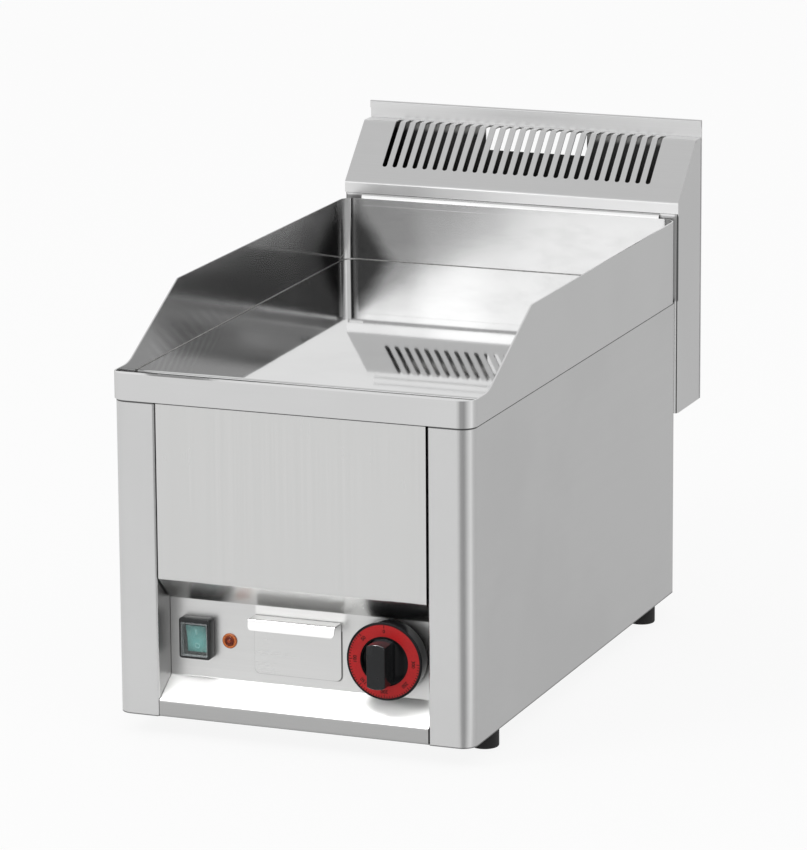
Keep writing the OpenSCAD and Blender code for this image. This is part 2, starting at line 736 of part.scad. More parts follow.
frame_rise = 0.75;                         // the border is a little wider above than below
frame_r = 2.5;
well_w = switch_w - 4.8;                   // opening in the frame
well_h = switch_h - 6.4;
switch_depth = 24;
cover_t = 0.8;
cover_out = 0.8;                           // the cover stands this far out of the frame

// Plan of the frame's border, set in from its outer edge
module border_plan(inset) translate([0, frame_rise]) difference() {
    square([switch_w - 2*inset, switch_h - 2*inset], center = true);
    for (s = [0, 1], t = [0, 1]) mirror([s, 0]) mirror([0, t])
        translate([switch_w/2 - frame_r, switch_h/2 - frame_r]) corner_cut(frame_r - inset);
}

// Splash frame: border with rounded corners that stands out of the control face
module switch_frame() make(black) translate([switch_x, 0, switch_z]) difference() {
    union() {
        along(switch_face + 0.8, panel_y) border_plan(0);
        along(switch_face, switch_face + 0.8 + eps) border_plan(0.6);
    }
    block([-well_w/2, switch_face - 1, -well_h/2], [well_w/2, panel_y + 1, well_h/2]);
}

// Clear cover pressed into the frame: a shallow box, open behind
module switch_cover() make([0.8, 0.9, 0.9, 0.35]) translate([switch_x, 0, switch_z]) difference() {
    block([-well_w/2, switch_face - cover_out, -well_h/2], [well_w/2, switch_face + 2.4, well_h/2]);
    block([-well_w/2 + cover_t, switch_face - cover_out + cover_t, -well_h/2 + cover_t],
        [well_w/2 - cover_t, switch_face + 3, well_h/2 - cover_t]);
}

pin_d = 3;
rocker_gap = 0.5;

// Housing: open well for the rocker, body through the panel and three blade terminals
module switch_body() make(black) translate([switch_x, 0, switch_z]) difference() {
    union() {
        block([-well_w/2, panel_y - 5, -well_h/2], [well_w/2, panel_y, well_h/2]);
        block([-cut_w/2 + 0.2, panel_y - 1, -cut_h/2 + 0.2],
            [cut_w/2 - 0.2, panel_y + switch_depth, cut_h/2 - 0.2]);
        for (z = [-9, 0, 9])
            block([-3.2, panel_y + switch_depth - eps, z - 0.4], [3.2, panel_y + switch_depth + 8, z + 0.4]);
    }
    block([-rocker_w/2 - rocker_gap, switch_face, -rocker_h/2 - rocker_gap],
        [rocker_w/2 + rocker_gap, panel_y + 4.5, rocker_h/2 + rocker_gap]);
    translate([-cut_w/2 + 0.6, rocker_y, 0]) rotate([0, 90, 0]) cylinder(d = pin_d + 2*run_gap, h = cut_w - 1.2);
}

// Rocker lying with its upper end out; it turns about X on two stub pins
module switch_rocker() make("#63a39c") translate([switch_x, rocker_y, switch_z])
    rotate([rocker_swing/2, 0, 0]) {
        across(rocker_w)
            polygon([[-3.6, -rocker_h/2 + 0.6], [-2.6, 0], [-3.6, rocker_h/2 - 0.6],
                [0, rocker_h/2 - 0.2], [3.4, 4], [3.4, -4], [0, -rocker_h/2 + 0.2]]);
        rotate([0, 90, 0]) cylinder(d = pin_d, h = cut_w - 2, center = true);
    }

module lamp_lens() make("#d8571e") translate([lamp_x, 0, lamp_z]) {
    rotate([90, 0, 0]) translate([0, 0, -panel_y]) rotate_extrude() difference() {
        union() {
            square([lamp_d/2, 1.4]);
            translate([0, 1.4 - eps]) square([lamp_d/2 - 1.6, 0.8]);
            intersection() {
                translate([0, -10]) circle(14.2, $fn = 96);
                translate([0, 2]) square([lamp_d/2 - 2, 4]);
            }
        }
        translate([lamp_d/2 - 0.8, 1.1]) square(2);
    }
    bar_y(6, panel_y - eps, panel_back + 4);
}

module lamp_body() make(black) translate([lamp_x, 0, lamp_z]) difference() {
    union() {
        bar_y(8.8, panel_y, panel_back + 26);
        for (s = [-1, 1]) block([s*2 - 0.4, panel_back + 25, -1.6], [s*2 + 0.4, panel_back + 33, 1.6]);
    }
    bar_y(6.1, panel_y - 1, panel_back + 4.2);
}

module lamp_nut() make(black) translate([lamp_x, panel_back, lamp_z]) rotate([-90, 0, 0]) difference() {
    hex(13, 4);
    translate([0, 0, -1]) cylinder(d = 8.9, h = 6);
}

// ---- drawer --------------------------------------------------------------

module drawer_front() make(steel) translate([drawer_x, 0, 0]) {
    handle_z = drawer_high - front_t - 0.6;
    flap_y = front_y - handle_reach + front_t;
    low_r = 5;
    flap_r = 4.4;
    difference() {
        across(drawer_w) folded([[front_y, drawer_low], [front_y, handle_z], [flap_y, handle_z],
            [flap_y - handle_flap*sin(16), handle_z - handle_flap*cos(16)]], t = front_t,
            radii = [0, 0.6, 0.8, 0]);
        for (s = [0, 1]) mirror([s, 0, 0]) {
            translate([drawer_w/2 - low_r, 0, drawer_low + low_r])
                along(front_y - 1, panel_y + 1) mirror([0, 1]) corner_cut(low_r);
            translate([drawer_w/2 - flap_r, 0, handle_z - handle_flap*cos(16) + flap_r])
                along(flap_y - handle_flap, front_y - 2) mirror([0, 1]) corner_cut(flap_r);
        }
    }
}

module drawer_tray() make(steel) translate([drawer_x, 0, 0]) {
    y0 = front_y + front_t;
    y1 = y0 + tray_l;
    along(y0, y1) folded([[tray_w/2, tray_high], [tray_w/2, tray_low], [-tray_w/2, tray_low],
        [-tray_w/2, tray_high]], t = tray_t, radii = [0, 2, 2, 0]);
    for (y = [y0, y1 - tray_t])
        block([-tray_w/2 + tray_t, y, tray_low + tray_t - eps], [tray_w/2 - tray_t, y + tray_t, tray_high]);
    block([-tray_w/2 + 2, y0, tray_low + 0.4], [tray_w/2 - 2, y0 + tray_t, tray_low + tray_t]);
    block([-tray_w/2 + 2, y1 - tray_t, tray_low + 0.4], [tray_w/2 - 2, y1, tray_low + tray_t]);
}

// Channel that the tray slides in, welded behind the control face and propped at the rear
module drawer_guide() make(zinc) translate([drawer_x, 0, 0]) {
    side_h = 16;
    prop_y = guide_end - 24;
    ear = 8;
    outer = guide_w/2 + sheet;
    along(panel_back, guide_end) folded([[-guide_w/2, guide_low + side_h], [-guide_w/2, guide_low],
        [guide_w/2, guide_low], [guide_w/2, guide_low + side_h]], radii = [0, 0.6, 0.6, 0]);
    for (s = [0, 1]) mirror([s, 0, 0])
        block([outer - eps, panel_back, guide_low + 2], [outer + ear, panel_back + sheet, guide_low + side_h]);
    block([-guide_w/2 - eps, guide_end - sheet, guide_low - eps],
        [guide_w/2 + eps, guide_end, guide_low + side_h]);
    for (s = [-1, 1])
        translate([s*(guide_w/2 - 12), prop_y, 0])
            along(0, 20) folded([[10, floor_z + sheet], [0, floor_z + sheet], [0, guide_low - sheet + eps]]);
}

// ---- flue ----------------------------------------------------------------

// Side outline of the cheeks: behind the cover's lip, then under its slope and ledge,
// with a small chamfer at each of the cover's bends
module flue_outline() {
    lip_in = [flue_y + sheet, lip_top_z - sheet*tan(45 - slope_angle/2)];
    ledge_in = [ledge_y + sheet*tan(slope_angle/2), ledge_z - sheet];
    run = [cos(slope_angle), sin(slope_angle)];
    polygon([[flue_y - 1, flue_bottom - 1], [flue_y - 1, lip_low_z - seat], [lip_in.x, lip_low_z - seat],
        lip_in - [0, 1], lip_in + run, ledge_in - 2*run, ledge_in + [2, 0], [flue_back_y, ledge_in.y],
        [flue_back_y, flue_bottom - 1]]);
}

// Slot across the fold: a round lower end on the slope, then up over the bend into the ledge
slot_low = 21.6;                           // from the lip's bend up the slope to the slot's end
slot_back = ledge_y + flue_ledge*0.5;

module flue_slot() {
    along_slope = [cos(slope_angle), sin(slope_angle)];
    off_slope = [-sin(slope_angle), cos(slope_angle)];
    low = [flue_y, lip_top_z] + slot_low*along_slope;
    bend = [ledge_y, ledge_z];
    under = 5;
    over = 3;
    end_d = slot_w + 0.1;
    across(slot_w) polygon([low - under*off_slope, low + over*off_slope, bend + over*off_slope,
        bend + [0, over], [slot_back, ledge_z + over], [slot_back, ledge_z - under],
        bend - [0, under], bend - under*off_slope]);
    translate([0, low.x, low.y]) rotate([slope_angle, 0, 0])
        translate([0, 0, -under]) cylinder(d = end_d, h = under + over);
    translate([0, slot_back, ledge_z - under]) cylinder(d = end_d, h = under + over);
}

module flue_cover() make(steel) difference() {
    across(pan_w) folded([[flue_y, lip_low_z], [flue_y, lip_top_z], [ledge_y, ledge_z],
        [flue_back_y - sheet - seat, ledge_z]], radii = [0, bend_r, 2*bend_r, 0]);
    for (i = [0:slots - 1]) translate([(i - (slots - 1)/2)*slot_pitch, 0, 0]) flue_slot();
}

// Cheek: flat side with flanges turned in at the front and the back
module flue_cheek() difference() {
    intersection() {
        translate([0, 0, flue_bottom]) linear_extrude(ledge_z - sheet - flue_bottom)
            folded([[pan_w/2 - wide_flange, flue_back_y - sheet], [pan_w/2, flue_back_y - sheet],
                [pan_w/2, flue_y], [pan_w/2 - wide_flange, flue_y]], radii = [0, bend_r, 2.5, 0]);
        across(2*pan_w) flue_outline();
    }
    at_flue_screws() bar_y(4.4, flue_y - 2, flue_y + 10);
}

module flue_cheek_left() make(steel) mirror([1, 0, 0]) flue_cheek();

module flue_cheek_right() make(steel) flue_cheek();

module flue_back() make(steel) difference() {
    across(pan_w) folded([[flue_back_y - 2*sheet - hem_gap, upstand_z - hem_h],
        [flue_back_y - 2*sheet - hem_gap, upstand_z], [flue_back_y, upstand_z], [flue_back_y, flue_bottom]],
        radii = [0, hem_gap/2, hem_gap/2, 0]);
    translate([window_side, 0, ledge_z])
        block([-window_w/2, flue_back_y - 2*sheet, -25], [window_w/2, flue_back_y + 1, -3]);
}

module flue_front_wall() make(steel) {
    y = flue_y + sheet;
    w = pan_w/2 - sheet - 3;
    difference() {
        across(2*w) folded([[y, flue_bottom], [y, lip_top_z - 4], [y + 5, lip_top_z + 1]]);
        block([-duct_w/2, y - 2, duct_low], [duct_w/2, y + sheet + 2, duct_high]);
        at_flue_screws() bar_y(4.4, flue_y - 2, flue_y + 10);
    }
}

module flue_spacers() make(zinc) at_flue_screws() difference() {
    bar_y(10, body_d, flue_y);
    bar_y(4.4, body_d - 1, flue_y + 1);
}

module flue_screws() make(zinc) at_flue_screws() {
    bar_y(4, back_y - sheet - 6, flue_y + 2*sheet);
    translate([0, flue_y + 2*sheet, 0]) rotate([-90, 0, 0]) hex(7, 2.8);
}

module rear_screws() make(zinc) at_rear_screws() difference() {
    union() {
        bar_y(4, back_y - sheet - 6, body_d);
        bar_y(8, body_d, body_d + 2.4);
    }
    for (a = [0, 90]) rotate([0, a, 0]) block([-2.4, body_d + 1, -0.5], [2.4, body_d + 3, 0.5]);
}

// ---- wiring side ---------------------------------------------------------

module safety_limiter() make("#d8d4c8") translate([limiter_x, 0, limiter_z]) {
    y1 = back_y - sheet;
    translate([-15, y1 - 26, -18]) cube([30, 26, 36]);
    bar_y(10, y1 - 1, y1 + sheet + 7);
    for (x = [-7, 7]) block([x - 3, y1 - 34, 4], [x + 3, y1 - 25, 4.8]);
}

module limiter_cap() make(black) translate([limiter_x, back_y, limiter_z]) difference() {
    union() {
        bar_y(16, 0, 10);
        for (a = [0:30:150]) rotate([0, a, 0]) block([-8.6, 0, -0.8], [8.6, 9, 0.8]);
    }
    bar_y(10.1, -1, 7.6);
}

terminal_x = 40;
terminal_y = back_y - 110;

module terminal_block() make("#e9e6da") translate([terminal_x, terminal_y, floor_z + sheet]) difference() {
    cube([54, 22, 20]);
    for (i = [0:2]) translate([10 + 17*i, 11, 0]) {
        translate([0, 0, 12]) cylinder(d = 6, h = 10);
        bar_y(5, -12, 12);
    }
}

module cable_gland() make(black) translate([gland_x, back_y, gland_z]) difference() {
    union() {
        bar_y(20, -sheet - 10, 0.5);
        rotate([-90, 0, 0]) hex(24, 6);
        translate([0, 6, 0]) rotate([-90, 0, 0]) cylinder(d1 = 22, d2 = 18, h = 12);
    }
    bar_y(11, -sheet - 12, 20);
}

module gland_nut() make(black) translate([gland_x, back_y - sheet, gland_z]) rotate([90, 0, 0]) difference() {
    hex(26, 5);
    translate([0, 0, -1]) cylinder(d = 20.1, h = 7);
}

module earth_stud() make("#c9a24a") translate([earth_x, back_y, earth_z]) {
    bar_y(6, -sheet - 6, 18);
    rotate([-90, 0, 0]) hex(10, 4);
    translate([0, -sheet, 0]) rotate([90, 0, 0]) hex(10, 5);
}

// ---- feet ----------------------------------------------------------------

module foot() difference() {
    rotate_extrude() difference() {
        square([foot_d/2, foot_h]);
        translate([foot_d/2 - 1.5, 1.5]) mirror([0, 1]) corner_cut(1.5);
        translate([foot_d/2 - 1, foot_h - 1]) corner_cut(1);
    }
    translate([0, 0, -1]) cylinder(d = 11, h = 8);
    cylinder(d = 5.4, h = foot_h + 1);
}

module foot_front_left() make(rubber) translate([-foot_x, foot_front_y, 0]) foot();

module foot_front_right() make(rubber) translate([foot_x, foot_front_y, 0]) foot();

module foot_rear_left() make(rubber) translate([-foot_x, body_d - foot_rear_y, 0]) foot();

module foot_rear_right() make(rubber) translate([foot_x, body_d - foot_rear_y, 0]) foot();

module foot_screws() make(zinc) at_feet() {
    translate([0, 0, 7]) cylinder(d = 5, h = foot_h + 2*sheet);
    translate([0, 0, 3.8]) cylinder(d = 9.6, h = 3.2);
}

module foot_nuts() make(zinc) at_feet() translate([0, 0, z0 + 2*sheet]) difference() {
    hex(8, 4);
    translate([0, 0, -1]) cylinder(d = 5.1, h = 6);
}

left_side_panel();
right_side_panel();
front_panel();
control_panel();
base_plate();
rear_panel();
griddle_pan();
griddle_plate();
grease_gutter();
drain_spout();
heating_element_left();
heating_element_middle();
heating_element_right();
plate_studs();
element_clamps();
clamp_nuts();
insulation_mat();
insulation_tray();
thermostat_body();
thermostat_shaft();
thermostat_bulb();
thermostat_capillary();
bulb_clip();
thermostat_screws();
knob_skirt();
dial_ring();
knob_grip();
switch_frame();
switch_body();
switch_rocker();
switch_cover();
lamp_lens();
lamp_body();
lamp_nut();
drawer_front();
drawer_tray();
drawer_guide();
flue_cover();
flue_cheek_left();
flue_cheek_right();
flue_back();
flue_front_wall();
flue_spacers();
flue_screws();
rear_screws();
safety_limiter();
limiter_cap();
terminal_block();
cable_gland();
gland_nut();
earth_stud();
foot_front_left();
foot_front_right();
foot_rear_left();
foot_rear_right();
foot_screws();
foot_nuts();
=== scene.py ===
from math import cos, pi, radians, sin

import bmesh
import bpy
from mathutils import Matrix, Vector


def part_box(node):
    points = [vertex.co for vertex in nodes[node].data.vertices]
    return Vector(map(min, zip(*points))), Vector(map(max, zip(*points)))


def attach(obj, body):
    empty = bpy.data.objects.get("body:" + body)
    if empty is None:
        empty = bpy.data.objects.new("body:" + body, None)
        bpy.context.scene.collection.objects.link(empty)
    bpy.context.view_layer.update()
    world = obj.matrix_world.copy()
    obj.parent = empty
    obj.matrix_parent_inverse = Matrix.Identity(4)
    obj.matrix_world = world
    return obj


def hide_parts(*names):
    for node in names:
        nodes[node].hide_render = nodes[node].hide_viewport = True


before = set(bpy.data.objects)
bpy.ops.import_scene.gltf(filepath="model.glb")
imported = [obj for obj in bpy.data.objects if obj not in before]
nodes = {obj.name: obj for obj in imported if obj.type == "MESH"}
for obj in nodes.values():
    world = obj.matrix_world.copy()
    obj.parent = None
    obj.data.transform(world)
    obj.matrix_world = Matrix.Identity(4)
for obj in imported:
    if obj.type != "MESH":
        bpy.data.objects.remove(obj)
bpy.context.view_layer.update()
mm = 0.001
print("frame loaded,", len(nodes), "nodes")

camera = {"place": (1.6462, -4.2356, 1.3147), "azimuth": 21.39, "elevation": 13.54, "roll": -0.38, "lens": 219.79,
          "sensor": 36, "farEnd": 200}


def placeCamera(v):
    a, e, r = (radians(v[k]) for k in ("azimuth", "elevation", "roll"))
    back = Vector((sin(a) * cos(e), -cos(a) * cos(e), sin(e)))
    right = Vector((cos(a), sin(a), 0))
    up = back.cross(right)
    across = right * cos(r) + up * sin(r)
    upward = up * cos(r) - right * sin(r)
    bpy.ops.object.camera_add(location=v["place"])
    made = bpy.context.object
    turned = Matrix((across, upward, back)).transposed().to_4x4()
    made.matrix_world = Matrix.Translation(v["place"]) @ turned
    made.data.lens = v["lens"]
    made.data.sensor_width = v["sensor"]
    made.data.clip_end = v["farEnd"]
    bpy.context.scene.camera = made


placeCamera(camera)
bpy.context.scene.view_settings.view_transform = "Standard"
print("camera ready")


class Wire:
    # one output socket of a shader: sums and products on it add Math nodes
    def __init__(self, paint, socket):
        self.paint = paint
        self.socket = socket

    def math(self, operation, first, second=0.0):
        return self.paint.add("ShaderNodeMath", {"operation": operation}, {0: first, 1: second})

    def __add__(self, other):
        return self.math("ADD", self, other)

    def __sub__(self, other):
        return self.math("SUBTRACT", self, other)

    def __mul__(self, other):
        return self.math("MULTIPLY", self, other)

    def __truediv__(self, other):
        return self.math("DIVIDE", self, other)

    def __rsub__(self, other):
        return self.math("SUBTRACT", other, self)

    def __rtruediv__(self, other):
        return self.math("DIVIDE", other, self)

    def __pow__(self, other):
        return self.math("POWER", self, other)

    def __abs__(self):
        return self.math("ABSOLUTE", self)

    __radd__ = __add__
    __rmul__ = __mul__


class Paint:
    # a node tree being filled in
    def __init__(self, tree):
        self.tree = tree
        self.tree.nodes.clear()

    def add(self, kind, settings=None, values=None, out=0):
        node = self.tree.nodes.new(kind)
        for key, value in (settings or {}).items():
            if key == "stops":
                while len(node.color_ramp.elements) < len(value):
                    node.color_ramp.elements.new(0.5)
                for element, (place, tone) in zip(node.color_ramp.elements, value):
                    element.position = place
                    element.color = tone if len(tone) == 4 else (*tone, 1)
            else:
                setattr(node, key, value)
        for key, value in (values or {}).items():
            if isinstance(value, Wire):
                self.tree.links.new(value.socket, node.inputs[key])
            else:
                node.inputs[key].default_value = value
        return Wire(self, node.outputs[out]) if node.outputs else node

    def place(self):
        return self.add("ShaderNodeTexCoord", out=3)

    def axes(self, vector):
        split = self.add("ShaderNodeSeparateXYZ", values={0: vector}).socket.node
        return [Wire(self, split.outputs[k]) for k in range(3)]

    def noise(self, vector, stretch, detail=2.0, rough=0.5, turn=(0, 0, 0)):
        spread = self.add("ShaderNodeMapping", values={0: vector, "Rotation": turn, "Scale": stretch})
        return self.add("ShaderNodeTexNoise",
                        values={"Vector": spread, "Scale": 1.0, "Detail": detail, "Roughness": rough})

    def rising(self, value, low, high, start=0.0, end=1.0):
        # soft step from one level to another between two values
        return self.add("ShaderNodeMapRange", {"interpolation_type": "SMOOTHSTEP"},
                        {0: value, 1: low, 2: high, 3: start, 4: end})

    def falling(self, value, low, high):
        return self.rising(value, low, high, 1.0, 0.0)

    def band(self, value, starts, full, fades, gone):
        return self.rising(value, starts, full) * self.falling(value, fades, gone)

    def larger(self, first, second):
        return self.add("ShaderNodeMath", {"operation": "MAXIMUM"}, {0: first, 1: second})

    def wave(self, value):
        return self.add("ShaderNodeMath", {"operation": "SINE"}, {0: value})

    def blend(self, factor, first, second):
        return self.add("ShaderNodeMix", {"data_type": "RGBA"}, {0: factor, 6: first, 7: second}, out=2)

    def bump(self, strength, distance, height, **normal):
        return self.add("ShaderNodeBump",
                        values={"Strength": strength, "Distance": distance, "Height": height, **normal})

    def reach(self, across, upward):
        return (across * across + upward * upward) ** 0.5


def shade(colour, factor=1.0):
    return (colour[0] * factor, colour[1] * factor, colour[2] * factor, 1)


def grey(level):
    return (level, level, level, 1)


studio = {"level": 0.93,
          # what the metal sees above: towards, full within and gone beyond (degrees), how much it takes away or adds
          "dark": [((0.506, -0.830, 0.234), 10, 18, 0.97), ((-0.355, -0.677, 0.644), 10, 26, 0.40),
                   ((-0.355, -0.215, 0.909), 15, 32, 0.15), ((0.355, 0.251, 0.900), 15, 32, 0.45),
                   ((0.355, 0.905, 0.15), 20, 45, 0.30)],
          "bright": [((-0.36, -0.905, 0.20), 10, 24, 0.75), ((0.97, 0.20, 0.10), 8, 26, 0.4),
                     ((0.395, -0.50, 0.704), 3, 7, 2.0)],
          # what the metal sees below: degrees round the body's front right corner, brightness of the floor
          "floorCorner": (0.16, -0.31),
          "floorRing": [(-180, 0.72), (-120, 0.85), (-75, 0.93), (-14, 0.93), (8, 0.41), (34, 0.36), (62, 0.80),
                        (88, 1.1), (108, 0.74), (135, 0.64), (180, 0.62)],
          "floorSize": 60, "floorGrey": 0.82, "shadow": 0.11,
          # lamps: place, width and height, power
          "keyAim": (0, 0, 0.2), "key": ((-1.6, -2.2, 2.6), (1.2, 1.2), 26),
          "stripAim": (0, -0.28, 0.04), "nearStrip": ((-0.10, -0.48, 1.10), (0.75, 0.36), 9.5),
          "farStrip": ((-0.10, -0.82, 1.05), (0.75, 0.40), 14),
          "glintAim": (0.05, -0.29, 0.09), "leftGlint": ((-0.24, -0.61, 0.97), (0.24, 0.24), 36),
          "rightGlint": ((0.80, -0.84, 0.76), (0.24, 0.24), 20)}

litByStrip = bpy.data.collections.new("litByStrip")        # the strips light only the controls and their panel
litByGlints = bpy.data.collections.new("litByGlints")      # the small lamps light only the knob
clearOfStrip = bpy.data.collections.new("clearOfStrip")    # throws no shadow in the near strip's light
for member in ("control_panel", "switch_cover", "drawer_front"):
    litByStrip.objects.link(nodes[member])


def buildSky(v):
    world = bpy.data.worlds.new("softStudio")
    bpy.context.scene.world = world
    world.use_nodes = True
    p = Paint(world.node_tree)
    sky = p.add("ShaderNodeTexCoord", out=0)

    def patch(towards, inner, outer):
        towards = Vector(towards).normalized()
        aim = p.add("ShaderNodeVectorMath", {"operation": "DOT_PRODUCT"}, {0: sky, 1: tuple(towards)}, out=1)
        return p.rising(aim, cos(radians(outer)), cos(radians(inner)))

    level = v["level"]
    for towards, inner, outer, depth in v["dark"]:
        level = (1 - patch(towards, inner, outer) * depth) * level
    for towards, inner, outer, height in v["bright"]:
        level = level + patch(towards, inner, outer) * height
    ray = p.add("ShaderNodeLightPath").socket.node
    seen = Wire(p, ray.outputs["Is Camera Ray"])
    level = level * (1 - seen) + seen                      # plain white behind the object
    glow = p.add("ShaderNodeBackground", values={"Color": grey(1), "Strength": level})
    p.add("ShaderNodeOutputWorld", values={"Surface": glow})


def buildFloor(v):
    # pale paper that shows white and in the metal, and keeps the object's shadow
    bpy.ops.mesh.primitive_plane_add(size=v["floorSize"], location=(0, 0, 0))
    floor = bpy.context.object
    floor.name = "floor"
    coat = bpy.data.materials.new("floorPaper")
    coat.use_nodes = True
    p = Paint(coat.node_tree)
    ray = p.add("ShaderNodeLightPath").socket.node
    glossy = Wire(p, ray.outputs["Is Glossy Ray"])
    seen = Wire(p, ray.outputs["Is Camera Ray"]) + glossy + Wire(p, ray.outputs["Is Transmission Ray"])
    x, y, z = p.axes(p.place())
    cornerX, cornerY = v["floorCorner"]
    around = p.add("ShaderNodeMath", {"operation": "ARCTAN2"}, {0: x - cornerX, 1: cornerY - y})
    ring = [(0.5 + angle / 360, (level, level, level)) for angle, level in v["floorRing"]]
    tone = p.add("ShaderNodeValToRGB", {"stops": ring}, {0: around / (2 * pi) + 0.5})
    strength = p.axes(tone)[0] * glossy + (1 - glossy)
    paper = p.add("ShaderNodeBsdfDiffuse", values={"Color": grey(v["floorGrey"])})
    white = p.add("ShaderNodeEmission", values={"Color": grey(1), "Strength": strength})
    mixed = p.add("ShaderNodeMixShader", values={0: p.rising(seen, 0.0, 1.0, end=1 - v["shadow"]), 1: paper, 2: white})
    p.add("ShaderNodeOutputMaterial", values={"Surface": mixed})
    floor.data.materials.append(coat)


def addLamp(place, size, power, aim):
    bpy.ops.object.light_add(type="AREA", location=place)
    lit = bpy.context.object
    lit.data.shape = "RECTANGLE"
    lit.data.size, lit.data.size_y = size
    lit.data.energy = power
    lit.rotation_euler = (Vector(aim) - lit.location).to_track_quat("-Z", "Y").to_euler()
    return lit


def buildStudio(v):
    buildSky(v)
    buildFloor(v)
    key = addLamp(*v["key"], v["keyAim"])
    key.visible_glossy = False
    for name in ("nearStrip", "farStrip"):
        strip = addLamp(*v[name], v["stripAim"])
        strip.light_linking.receiver_collection = litByStrip
        if name == "nearStrip":
            strip.light_linking.blocker_collection = clearOfStrip
    for name in ("leftGlint", "rightGlint"):
        glint = addLamp(*v[name], v["glintAim"])
        glint.light_linking.receiver_collection = litByGlints


buildStudio(studio)
print("studio ready")

finishes = {}


def finish(name, build, **values):
    material = bpy.data.materials.new(name)
    material.use_nodes = True
    p = Paint(material.node_tree)
    sockets = build(p, values)
    surface = p.add("ShaderNodeBsdfPrincipled", values=sockets)
    p.add("ShaderNodeOutputMaterial", values={"Surface": surface})
    finishes[name] = material


def brushed(p, v):
    # fine grain drawn out along one axis, cloudy rolling marks, and a few faint wipe marks
    place = p.place()
    along = {"X": (6, 1100, 1100), "Y": (1100, 6, 1100), "Z": (1100, 1100, 6)}[v["grain"]]
    fine = p.noise(place, along, 3.0, 0.6)
    wide = p.noise(place, tuple(k * 0.22 for k in along), 2.0, 0.5)
    cloud = p.noise(place, (9, 9, 9), 3.0, 0.5)
    wipe = p.noise(place, (26, 7, 15), 2.0, 0.6, (0.4, 0.3, 0.6))
    streak = fine * 0.6 + wide * 0.4
    dark, pale = shade(v["tint"], 1 - v["contrast"]), shade(v["tint"], 1 + v["contrast"])
    colour = p.blend(p.rising(streak, 0.3, 0.7), dark, pale)
    colour = p.blend(p.rising(cloud, 0.35, 0.7) * 0.5, colour, shade(v["tint"], v["cloud"]))
    rough = v["rough"] + (streak - 0.5) * 0.08 + (cloud - 0.5) * 0.06 + p.rising(wipe, 0.56, 0.72) * 0.02
    axes = p.axes(place)
    for mark, sizes in v.get("marks", []):
        colour, rough = mark(p, axes, colour, rough, sizes)
    bump = p.bump(v["lift"], 0.02 * mm, streak)
    return {"Base Color": colour, "Metallic": 1.0, "Roughness": rough, "Normal": bump}


def paintedFootShade(p, axes, colour, rough, v):
    # painted shade: the lowest millimetre of the face is painted dark
    x, y, z = axes
    edge = p.falling(z, v["foot"] + 0.8 * mm, v["foot"] + 1.2 * mm)
    return p.blend(edge * 0.7, colour, grey(0.06)), rough


def shadowAndGreaseLine(p, axes, colour, rough, v):
    # painted shadow and old grease just under the pan's skirt
    x, y, z = axes
    start = v["skirt"] - v["depth"]
    line = p.rising(z, start - 0.2 * mm, start + 0.2 * mm)
    return p.blend(line * 0.86, colour, grey(0.03)), rough + line * 0.3


def wallGapShade(p, axes, colour, rough, v):
    # painted shade in the gap where the pan's wall meets the flue's cheek
    x, y, z = axes
    gapShade = p.falling(y, v["start"] + 2.2 * mm, v["start"] + 3 * mm)
    gapShade = gapShade * p.band(z, v["low"] - 2 * mm, v["low"], v["high"], v["high"] + 2 * mm)
    return p.blend(gapShade * 0.85, colour, grey(0.04)), rough


def shadedPosts(p, axes, colour, rough, v):
    # the posts' inner cheeks stay in the shade of the recess
    x, y, z = axes
    low, high = v["panel"]
    reach = abs(high.x)
    cheek = p.falling(abs(x), reach + 0.3 * mm, reach + 0.8 * mm) * p.rising(y, low.y + 1.8 * mm, low.y + 2.6 * mm)
    return p.blend(cheek * 0.52, colour, grey(0.05)), rough + cheek * 0.1


def paleSillHighlight(p, axes, colour, rough, v):
    # painted highlight: the sloping sill is painted pale and is a little rougher; the lip below it is painted darker
    x, y, z = axes
    low, high, soft = v["low"], v["high"], 0.5 * mm
    sill = p.band(z, low - soft, low + soft, high - soft, high + soft)
    colour = p.blend(sill, colour, p.blend(0.45, colour, (0.90, 0.90, 0.89, 1)))
    colour = p.blend(p.falling(z, low - 1 * mm, low) * 0.42, colour, grey(0.12))
    return colour, rough + sill * 0.16


def drawerCrackShade(p, axes, colour, rough, v):
    # painted shade in the crack round the drawer's sides and foot, stronger at the right
    x, y, z = axes
    low, high = v["front"]
    middle = (low + high) / 2
    half = (high - low) / 2 - Vector((v["corner"], 0, v["corner"]))
    across = p.larger(abs(x - middle.x) - half.x, 0.0)
    downward = p.larger(middle.z - z - half.z, 0.0)
    beyond = p.reach(across, downward) - v["corner"]
    crackShade = p.falling(beyond, 0.3 * mm, 1.2 * mm) * p.falling(z, high.z - 9 * mm, high.z - 7 * mm)
    crackShade = crackShade * (p.rising(x, high.x - 12 * mm, high.x - 2 * mm) * 0.35 + 0.40)
    return p.blend(crackShade, colour, grey(0.05)), rough


def ledgeBounceLight(p, axes, colour, rough, v):
    # painted pool of light above the drawer's handle, where light bounces up off the handle's ledge
    x, y, z = axes
    low, high = v["front"]
    bouncedLight = p.band(x, low.x - 1 * mm, low.x + 2 * mm, high.x + 2 * mm, high.x + 6 * mm)
    bouncedLight = bouncedLight * p.band(z, high.z - 4 * mm, high.z, high.z + 7.5 * mm, high.z + 9.5 * mm)
    return p.blend(bouncedLight * 0.8, colour, (0.93, 0.93, 0.92, 1)), rough


